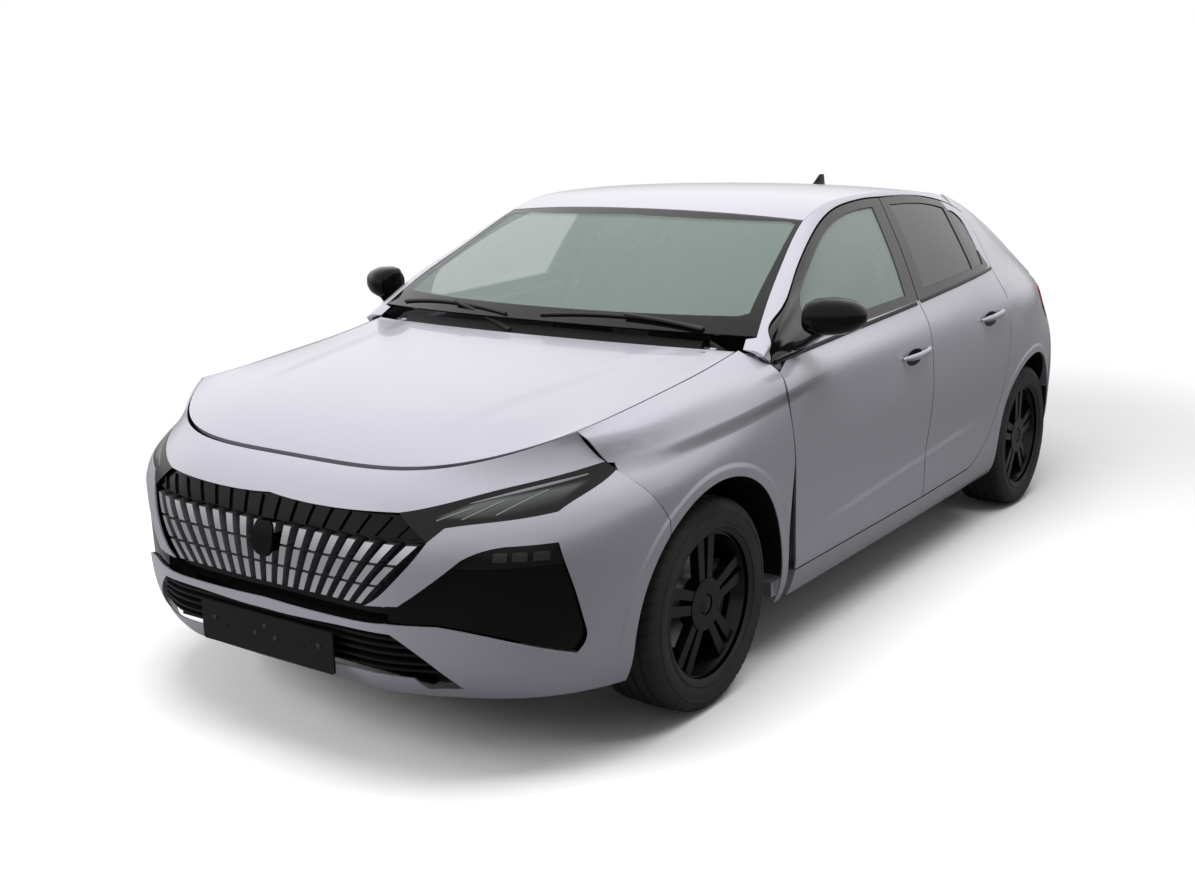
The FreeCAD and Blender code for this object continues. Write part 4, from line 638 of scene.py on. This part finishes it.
for place, hub_y in (("front", FRONT_Y), ("rear", REAR_Y)):
    for side, sign in SIDES:
        corner = "%s_%s" % (place, side)
        wheel = "wheel_" + corner
        low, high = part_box("rim_" + corner)
        face = high[0] - HUB_X if sign > 0 else -HUB_X - low[0]
        rubber = add("road_tyre_" + corner, *tyre(sign, hub_y), "tyre", wheel, 50)
        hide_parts("tyre_" + corner)
        add("tyre_ribs_" + corner, *joined([lathe(rib, hub_y, sign, 96) for rib in RIBS]), "tyre", wheel)
        cap = [(face - 0.030, 0.030), (face - 0.012, 0.030), (face - 0.008, 0.026), (face - 0.006, 0.0)]
        add("hub_cap_" + corner, *lathe(cap, hub_y, sign), "wheel", wheel)
        bolts = [wheel_bolt(sign, hub_y, face, 2 * math.pi * (index + 0.5) / BOLT_COUNT)
                 for index in range(BOLT_COUNT)]
        add("wheel_bolts_" + corner, *joined(bolts), "steel", wheel)
        carrier = "knuckle_" + side if place == "front" else "body"
        add("caliper_" + corner, *caliper(sign, hub_y, 1 if place == "front" else -1), "steel", carrier)


# Doors: handles, belt strips and mirrors

# Grip's height above the door and its width, from its front end to its rear end
HANDLE_LIFTS = [0.001, 0.020, 0.031, 0.035, 0.036, 0.036, 0.035, 0.031, 0.022, 0.001]
HANDLE_WIDTHS = [0.40, 0.80, 0.95, 1.0, 1.0, 1.0, 1.0, 1.0, 0.90, 0.50]
HANDLE_SECTION = [(0.0125 * math.cos(t), 0.0065 * math.sin(t)) for t in around(14)]


def handle(surface, y0, y1, z0, z1, sign):
    """Bow handle from (y0, z0) to (y1, z1)."""
    path, ups = [], []
    for index, lift in enumerate(HANDLE_LIFTS):
        share = index / (len(HANDLE_LIFTS) - 1)
        place, normal = on_side(surface, y0 + (y1 - y0) * share, z0 + (z1 - z0) * share, sign)
        path.append(place + normal * lift)
        ups.append(normal)
    count = len(HANDLE_LIFTS) * 3
    widths = [v.x for v in curve([(width, 0, 0) for width in HANDLE_WIDTHS], count)]
    return sweep(curve(path, count), curve(ups, count), HANDLE_SECTION, widths)


def oval(y, z, a, b, slope, count=28):
    """Outline of an ellipse whose long axis rises by slope."""
    return [(y + a * math.cos(t), z + b * math.sin(t) + a * math.cos(t) * slope) for t in around(count)]


# Handle ends y0, y1, z0, z1 and belt line ends of each door, in (y, z)
DOORS = (("front", (-0.085, 0.140, 0.866, 0.878), ((-0.90, 0.966), (0.165, 1.036))),
         ("rear", (0.700, 0.925, 0.915, 0.929), ((0.205, 1.040), (1.0, 1.098))))
for side, sign in SIDES:
    for place, grip, (start, end) in DOORS:
        door = "door_%s_%s" % (place, side)
        surface = tree(door)
        add("handle_%s_%s" % (place, side), *handle(surface, *grip, sign), "roof_paint", door)
        y0, y1, z0, z1 = grip
        outline = oval((y0 + y1) / 2 - 0.01, (z0 + z1) / 2 - 0.010, 0.072, 0.028, 0.06)
        cup = patch_on(on_side, surface, outline, 0.0012, sign=sign)
        add("handle_cup_%s_%s" % (place, side), *cup, "gloss", door)
        belt = [(start[0] + (end[0] - start[0]) * k / 24, start[1] + (end[1] - start[1]) * k / 24)
                for k in range(25)]
        strip = line_on(on_side, surface, belt, strip_section(0.014, 0.004), sign=sign)
        add("belt_strip_%s_%s" % (place, side), *strip, "gloss", door)


MIRROR_INNER, MIRROR_OUTER = 0.885, 1.052
MIRROR_Y, MIRROR_Z = -0.745, 1.092
# The mirror's outer shell as (share of its length outwards, height, depth)
MIRROR_SHELL = [(0.0, 0.55, 0.55), (0.03, 0.84, 0.82), (0.12, 0.97, 0.96), (0.35, 1.02, 1.0),
                (0.6, 0.94, 0.9), (0.8, 0.76, 0.72), (0.92, 0.52, 0.5), (0.985, 0.26, 0.24),
                (1.0, 0.08, 0.08)]
SHELL_HALF_HEIGHT, SHELL_FRONT, SHELL_REAR = 0.058, 0.088, 0.052
SHELL_SWEEP, SHELL_RISE = 0.055, 0.004
# Foot of the mirror as (x, z, half depth, half height)
MIRROR_FOOT = [(0.852, 1.000, 0.060, 0.016), (0.885, 1.014, 0.052, 0.015), (0.912, 1.034, 0.042, 0.013),
               (0.950, 1.056, 0.030, 0.014)]
GLASS_X, GLASS_HALF_WIDTH, GLASS_HALF_HEIGHT, GLASS_SLANT = 0.952, 0.056, 0.036, 0.34


def bent(value, exponent):
    """Power of a value that keeps its sign."""
    return math.copysign(abs(value) ** exponent, value)


def mirror_shell(sign):
    rings = []
    for share, tall, deep in MIRROR_SHELL:
        x = MIRROR_INNER + (MIRROR_OUTER - MIRROR_INNER) * share
        ring = []
        for t in around(32):
            c, s = math.cos(t), math.sin(t)
            if c > 0:
                y = MIRROR_Y - SHELL_FRONT * deep * c ** 0.9
            else:
                y = MIRROR_Y + SHELL_REAR * deep * abs(c) ** 0.35
            z = MIRROR_Z + SHELL_RISE * share + SHELL_HALF_HEIGHT * tall * bent(s, 0.8)
            ring.append((sign * x, y + SHELL_SWEEP * share, z))
        rings.append(ring)
    return loft(rings)


def mirror_glass(sign):
    face = []
    for t in around(28):
        across = GLASS_HALF_WIDTH * bent(math.cos(t), 0.6)
        face.append((sign * (GLASS_X + across), MIRROR_Y + 0.078 + GLASS_SLANT * across,
                     MIRROR_Z + 0.002 + GLASS_HALF_HEIGHT * bent(math.sin(t), 0.7)))
    return loft([face, [(x, y - 0.002, z) for x, y, z in face]])


def mirror_foot(sign):
    return loft([[(sign * x, MIRROR_Y - 0.005 + a * math.cos(t), z + b * math.sin(t)) for t in around(20)]
                 for x, z, a, b in MIRROR_FOOT])


for side, sign in SIDES:
    door = "door_front_%s" % side
    shell = add("mirror_cap_%s" % side, *mirror_shell(sign), "gloss", door, 50)
    add("mirror_glass_%s" % side, *mirror_glass(sign), "mirror", door)
    add("mirror_foot_%s" % side, *mirror_foot(sign), "gloss", door)
    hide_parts("mirror_%s" % side)


# Wipers and antenna

BLADE_SECTION = [(-0.004, -0.004), (0.004, -0.004), (0.005, 0.001), (0.001, 0.004), (-0.004, 0.003)]
ARM_SECTION = [(-0.007, -0.003), (0.007, -0.003), (0.006, 0.003), (-0.006, 0.003)]
screen = tree("windscreen")


def wiper(x0, x1, y0, y1, pivot):
    """Blade from (x0, y0) to (x1, y1) on the screen with its arm from the pivot."""
    path, ups = [], []
    for step in range(16):
        share = step / 15
        place, normal = on_top(screen, x0 + (x1 - x0) * share, y0 + (y1 - y0) * share)
        if place is not None:
            path.append(place + normal * 0.005)
            ups.append(normal)
    blade = sweep(path, ups, BLADE_SECTION)
    start, mid = Vector(pivot), path[len(path) // 2] + ups[0] * 0.008
    arm = curve([start, start.lerp(mid, 0.5) + Vector((0, 0, 0.004)), mid], 12)
    return joined([blade, sweep(arm, [Vector((0, -0.3, 1))] * 12, ARM_SECTION)])


def foot_of(x, back):
    """Y of the screen's lower edge plus a distance back, where it can be reached from above."""
    for step in range(60):
        y = -1.06 + step * 0.005
        if on_top(screen, x, y)[0] is not None:
            return y + back
    return -0.9


wipers = []
screen_and_cowl = tree("cowl", "windscreen")
for inner, outer in ((0.04, 0.62), (-0.66, -0.10)):
    end = outer + 0.03
    y = foot_of(end, 0.002) - 0.012
    place, _ = on_top(screen_and_cowl, min(end, 0.60), y)
    pivot = (min(end, 0.62), y, place.z + 0.006)
    wipers.append(wiper(inner, outer, foot_of(inner, 0.020), foot_of(outer, 0.012), pivot))
add("wipers", *joined(wipers), "rubber", "body")

# Antenna fin as (share of its height, length, width)
FIN = ((-0.05, 1.0, 1.0), (0.0, 1.0, 1.0), (0.12, 0.86, 0.86), (0.35, 0.66, 0.66), (0.7, 0.46, 0.45),
       (0.93, 0.33, 0.30), (1.0, 0.24, 0.15))
FIN_FRONT, FIN_REAR, FIN_HALF_WIDTH, FIN_HEIGHT, FIN_LEAN = 0.095, 0.045, 0.021, 0.055, 0.025
top, _ = on_top(tree("roof_panel"), 0.0, 1.03)
fin = []
for share, length, width in FIN:
    ring = []
    for t in around(24):
        c, s = math.cos(t), math.sin(t)
        reach = (FIN_REAR if c > 0 else FIN_FRONT) * length
        ring.append((FIN_HALF_WIDTH * width * s, top.y + FIN_LEAN * share + reach * c,
                     top.z + FIN_HEIGHT * share))
    fin.append(ring)
add("antenna", *loft(fin), "gloss", "body")


# Inside of the windscreen: sensor housing and mirror

# Sensor housing as (y, half width, height)
HOUSING = ((-0.62, 0.035, 0.030), (-0.58, 0.055, 0.045), (-0.52, 0.060, 0.055), (-0.465, 0.060, 0.050))
housing = []
for y, half, drop in HOUSING:
    z = on_top(screen, 0.0, y)[0].z - 0.010
    housing.append([(-half, y, z), (half, y, z), (half * 0.8, y, z - drop), (-half * 0.8, y, z - drop)])
add("sensor_housing", *loft(housing), "plastic", "body")
mid_y = -0.56
mid_z = on_top(screen, 0.0, mid_y)[0].z - 0.095
face = [(0.115 * bent(math.cos(t), 0.5), mid_y, mid_z + 0.034 * bent(math.sin(t), 0.6)) for t in around(32)]
rim = [(x, y - 0.012, z) for x, y, z in face]
back = [(x * 0.92, y - 0.025, mid_z + (z - mid_z) * 0.85) for x, y, z in face]
add("inner_mirror", *loft([face, rim, back]), "plastic", "body")
stem = [ring_of((0.0, mid_y - 0.02, z), 0.010, 0.010, 12) for z in (mid_z, mid_z + 0.075)]
add("inner_mirror_stem", *loft(stem), "plastic", "body")


# Lamps

lamp_surface = tree("headlamps")
bars = []
for x, z_top, z_low in ((0.575, 0.734, 0.704), (0.632, 0.749, 0.708), (0.700, 0.766, 0.718)):
    line = [(x - 0.034 + 0.068 * k / 8, z_low + (z_top - z_low) * k / 8) for k in range(9)]
    bars.append(line_on(on_front, lamp_surface, line, strip_section(0.0035, 0.0010, -0.002)))
# Light guide along the lamp's upper edge, as (x, z), thinner towards both ends
guide = [(0.600, 0.743), (0.650, 0.757), (0.700, 0.770), (0.745, 0.781), (0.780, 0.790)]
line = [(p.x, p.y) for p in curve([(u, v, 0) for u, v in guide], 24)]
widths = [0.3 + 0.7 * min(1.0, 2.2 * k / 23) * (1.0 if k < 16 else 1.0 - (k - 16) / 9) for k in range(24)]
bars.append(line_on(on_front, lamp_surface, line, strip_section(0.008, 0.0012, -0.002), widths))
add("lamp_bars", *both(joined(bars)), "light_bar", "body")

slim = tree("slim_lamps")
z = 0.616
cells = []
for x in (0.690, 0.728, 0.766):
    outline = [(x - 0.014, z - 0.011), (x, z - 0.012), (x + 0.014, z - 0.012), (x + 0.014, z + 0.012),
               (x, z + 0.012), (x - 0.014, z + 0.012)]
    cells.append(patch_on(on_front, slim, outline, 0.0006))
add("slim_lamp_cells", *both(joined(cells)), "cell", "body")


# Nose: screws of the number plate carrier, tray and shroud behind the openings, ends of the cowl

screws = []
for x, z in ((-0.205, 0.3375), (0.205, 0.3375), (-0.04, 0.325), (0.04, 0.325), (0.0, 0.352)):
    screws.append(loft([[(x + r * math.cos(t), y, z + r * math.sin(t)) for t in around(16)]
                        for y, r in ((-2.186, 0.0075), (-2.1885, 0.0075), (-2.1895, 0.006))]))
add("carrier_screws", *joined(screws), "rubber", "body")

add("front_tray", *block((-0.50, -2.075, 0.256), (0.50, -1.72, 0.262)), "plastic", "body")
add("front_shroud", *block((-0.60, -2.035, 0.262), (0.60, -2.025, 0.70)), "rubber", "body")

cowl_end = [(0.600, -1.020), (0.690, -1.005), (0.735, -0.965), (0.775, -0.955), (0.775, -0.905),
            (0.700, -0.900), (0.600, -0.935)]
rings = [[(x, y, z) for x, y in cowl_end] for z in (0.955, 0.978)]
add("cowl_ends", *both(loft(rings)), "rubber", "body")


# Tail

tail = tree("tail_lamps")
gate = tree("tailgate")
rows = [line_on(on_back, tail, [(0.70 + 0.08 * k / 10, z) for k in range(11)], strip_section(0.007, 0.002))
        for z in (0.90, 0.925)]
add("tail_light_lines", *both(joined(rows)), "tail_dark", "body")
outline = [(-0.27, 0.70), (-0.09, 0.70), (0.09, 0.70), (0.27, 0.70), (0.27, 0.76), (0.27, 0.82),
           (0.09, 0.82), (-0.09, 0.82), (-0.27, 0.82), (-0.27, 0.76)]
add("rear_plate_recess", *patch_on(on_back, gate, outline, 0.003), "plastic", "tailgate")
band = [line_on(on_back, gate, [(-0.58 + 1.16 * k / 48, z) for k in range(49)], strip_section(0.017, 0.003))
        for z in (0.900, 0.915, 0.930)]
add("tail_band", *joined(band), "gloss", "tailgate")


# Cabin

SEAM_DEPTH, SEAM_WIDTH = 0.16, 0.045


def cushion(size, seams=(), crown=0.25, count=26, power=7.0):
    """Stuffed block with rounded corners and sewn channels, centred on the origin, z up."""
    points, faces, index = [], [], {}

    def vertex(a, b, c):
        key = (round(a, 5), round(b, 5), round(c, 5))
        if key not in index:
            index[key] = len(points)
            span = (abs(a) ** power + abs(b) ** power + abs(c) ** power) ** (1 / power)
            biggest = max(abs(a), abs(b), abs(c))
            x, y, z = (v * biggest / span for v in (a, b, c))
            if z > 0:
                z += crown * (1 - x * x) * (1 - y * y) * z
                for seam, way in seams:
                    gap = (x if way == "x" else y) - seam
                    z -= SEAM_DEPTH * math.exp(-(gap / SEAM_WIDTH) ** 2) * z
            points.append(Vector((x * size[0], y * size[1], z * size[2])))
        return index[key]

    grid = [-1 + 2 * k / count for k in range(count + 1)]
    for axis in range(3):
        for end in (-1, 1):
            for a, a2 in zip(grid, grid[1:]):
                for b, b2 in zip(grid, grid[1:]):
                    corners = []
                    for u, v in ((a, b), (a2, b), (a2, b2), (a, b2)):
                        c = [u, v]
                        c.insert(axis, end)
                        corners.append(vertex(*c))
                    outward = end * (1 if axis != 1 else -1)
                    faces.append(corners if outward > 0 else corners[::-1])
    return points, faces


def placed(part, centre, tilt):
    """Turns a part about X by tilt degrees and moves it."""
    spin = Matrix.Rotation(math.radians(tilt), 4, "X")
    return [spin @ p + Vector(centre) for p in part[0]], part[1]


def soft(name, part, fill=0.75):
    """Stuffed piece of cloth that rides on the body."""
    piece = add(name, *part, "cloth", "body", 80)
    return piece


SEAT_X = 0.37
FRONT_SEAMS = [(-0.55, "x"), (0.55, "x")]
BENCH_SEAMS = [(-0.35, "x"), (0.35, "x")]
for side, sign in SIDES:
    x = sign * SEAT_X
    seat = cushion((0.245, 0.26, 0.075), FRONT_SEAMS)
    base = soft("seat_cushion_%s" % side, placed(seat, (x, -0.055, 0.475), 8))
    if side == "left":
        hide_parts("front_seats")
    rest = cushion((0.235, 0.30, 0.070), FRONT_SEAMS + [(0.35, "y")])
    soft("seat_back_%s" % side, placed(rest, (x, 0.262, 0.745), 74))
    pillow = cushion((0.13, 0.085, 0.045), [], 0.15, 18)
    soft("seat_headrest_%s" % side, placed(pillow, (x, 0.355, 1.115), 76))
    posts = [loft([ring_of((x + shift, y, z), 0.006, 0.006, 10) for y, z in ((0.345, 1.0), (0.352, 1.09))])
             for shift in (-0.055, 0.055)]
    add("headrest_posts_%s" % side, *joined(posts), "steel", "body")
    stand = block((x - 0.21, -0.28, 0.24), (x + 0.21, 0.20, 0.41), 0.02)
    add("seat_base_%s" % side, *stand, "cabin", "body")
bench = soft("bench_cushion", placed(cushion((0.60, 0.24, 0.075), BENCH_SEAMS), (0, 0.86, 0.50), 6))
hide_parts("rear_bench")
soft("bench_back", placed(cushion((0.60, 0.28, 0.065), BENCH_SEAMS), (0, 1.13, 0.78), 72))
for x, side in ((-0.38, "right"), (0.38, "left")):
    pillow = cushion((0.13, 0.070, 0.045), [], 0.15, 16)
    soft("rear_headrest_%s" % side, placed(pillow, (x, 1.225, 1.075), 76))

dash = [block((-0.14, -0.72, 0.93), (0.10, -0.70, 1.045), 0.006),
        block((0.26, -0.73, 0.95), (0.50, -0.71, 1.035), 0.006)]
add("displays", *joined(dash), "screen_black", "body")
add("dash_hood", *block((0.24, -0.80, 0.935), (0.52, -0.70, 0.955), 0.008), "cabin", "body")
vents = []
for x in (-0.58, -0.22, 0.18, 0.58):
    for k in range(4):
        z = 0.855 + 0.014 * k
        vents.append(block((x - 0.05, -0.652, z), (x + 0.05, -0.634, z + 0.005)))
add("vents", *joined(vents), "cabin_light", "body")


# Floor

FLOOR_RADIUS = 12.0
FLOOR_SEEN, FLOOR_LIT = (0.90, 0.90, 0.905), (0.26, 0.26, 0.27)
# The floor fades out between two ellipses of these half axes
FADE_X, FADE_Y, FADE_START, FADE_END = 1.3, 2.4, 1.15, 2.3


def seen(nodes):
    """1 for rays that show the background: camera and transmission rays."""
    path = nodes.new("ShaderNodeLightPath")
    join = nodes.new("ShaderNodeMath")
    join.operation = "MAXIMUM"
    join.id_data.links.new(path.outputs["Is Camera Ray"], join.inputs[0])
    join.id_data.links.new(path.outputs["Is Transmission Ray"], join.inputs[1])
    return join.outputs[0]


floor_mat = material("floor", FLOOR_SEEN, 0.8)
n = Nodes(floor_mat)
wide, long = n.math("MULTIPLY", n.x, 1 / FADE_X), n.math("MULTIPLY", n.y, 1 / FADE_Y)
flat = n.math("SQRT", n.math("MULTIPLY_ADD", wide, wide, n.math("MULTIPLY", long, long)))
n.put(n.shader.inputs["Alpha"], n.step(flat, FADE_END, FADE_START))
n.put(n.shader.inputs["Base Color"], n.mix(seen(n.tree.nodes), FLOOR_LIT, FLOOR_SEEN))
mesh = bpy.data.meshes.new("floor")
mesh.from_pydata(ring_of((0.0, 0.0, 0.0), FLOOR_RADIUS, FLOOR_RADIUS, 96), [], [list(range(96))])
mesh.materials.append(floor_mat)
floor = bpy.data.objects.new("floor", mesh)
bpy.context.scene.collection.objects.link(floor)


# World: white to the camera, dim to the surfaces it lights, and graded by height in reflections

WORLD_LIGHT = 0.26
SKY = (("From Min", -0.08), ("From Max", 0.24), ("To Min", 0.28), ("To Max", 1.12))

world = bpy.data.worlds.new("studio")
bpy.context.scene.world = world
world.use_nodes = True
nodes, links = world.node_tree.nodes, world.node_tree.links
back = nodes["Background"]
place = nodes.new("ShaderNodeTexCoord")
split = nodes.new("ShaderNodeSeparateXYZ")
sky = nodes.new("ShaderNodeMapRange")
sky.interpolation_type = "SMOOTHSTEP"
for name, number in SKY:
    sky.inputs[name].default_value = number
path = nodes.new("ShaderNodeLightPath")
glow = nodes.new("ShaderNodeMix")
shade = nodes.new("ShaderNodeMix")
glow.inputs[2].default_value = WORLD_LIGHT
shade.inputs[3].default_value = 1.0
links.new(place.outputs["Generated"], split.inputs[0])
links.new(split.outputs[2], sky.inputs["Value"])
links.new(path.outputs["Is Glossy Ray"], glow.inputs[0])
links.new(sky.outputs["Result"], glow.inputs[3])
links.new(seen(nodes), shade.inputs[0])
links.new(glow.outputs[0], shade.inputs[2])
links.new(shade.outputs[0], back.inputs[1])
back.inputs[0].default_value = (1, 1, 1, 1)


# Lights

def area(name, place, target, size, power):
    """Rectangular lamp that isn't mirrored in the car."""
    light = bpy.data.lights.new(name, "AREA")
    light.shape = "RECTANGLE"
    light.size, light.size_y = size
    light.energy = power
    lamp = bpy.data.objects.new(name, light)
    bpy.context.scene.collection.objects.link(lamp)
    lamp.location = place
    lamp.rotation_euler = (Vector(target) - Vector(place)).to_track_quat("-Z", "Y").to_euler()
    lamp.visible_glossy = False


area("top_light", (0.8, -0.8, 4.6), (0, 0, 0), (5.5, 3.2), 330)
area("key_light", (-3.6, -5.8, 3.4), (0, -1.4, 0.6), (3.5, 2.5), 330)


# Camera, solved from the photograph; focal length and principal point in its pixels

PHOTO_WIDTH, PHOTO_HEIGHT = 1195, 896
FOCAL_LENGTH = 1345.81
PRINCIPAL_POINT = (695.69, 438.87)
SENSOR_WIDTH = 36.0
AZIMUTH, ELEVATION, DISTANCE = math.radians(32.2725), math.radians(12.7139), 5.3315
TARGET = Vector((0.0348, -0.0675, 0.4692))

away = Vector((math.sin(AZIMUTH) * math.cos(ELEVATION), -math.cos(AZIMUTH) * math.cos(ELEVATION),
               math.sin(ELEVATION)))
data = bpy.data.cameras.new("camera")
data.sensor_width = SENSOR_WIDTH
data.lens = FOCAL_LENGTH / PHOTO_WIDTH * SENSOR_WIDTH
data.shift_x = -(PRINCIPAL_POINT[0] - PHOTO_WIDTH / 2) / PHOTO_WIDTH
data.shift_y = (PRINCIPAL_POINT[1] - PHOTO_HEIGHT / 2) / PHOTO_WIDTH
data.clip_start, data.clip_end = 0.05, 200
camera = bpy.data.objects.new("camera", data)
bpy.context.scene.collection.objects.link(camera)
camera.location = TARGET + away * DISTANCE
camera.rotation_euler = (-away).to_track_quat("-Z", "Y").to_euler()
bpy.context.scene.camera = camera
bpy.context.scene.view_settings.view_transform = "Standard"
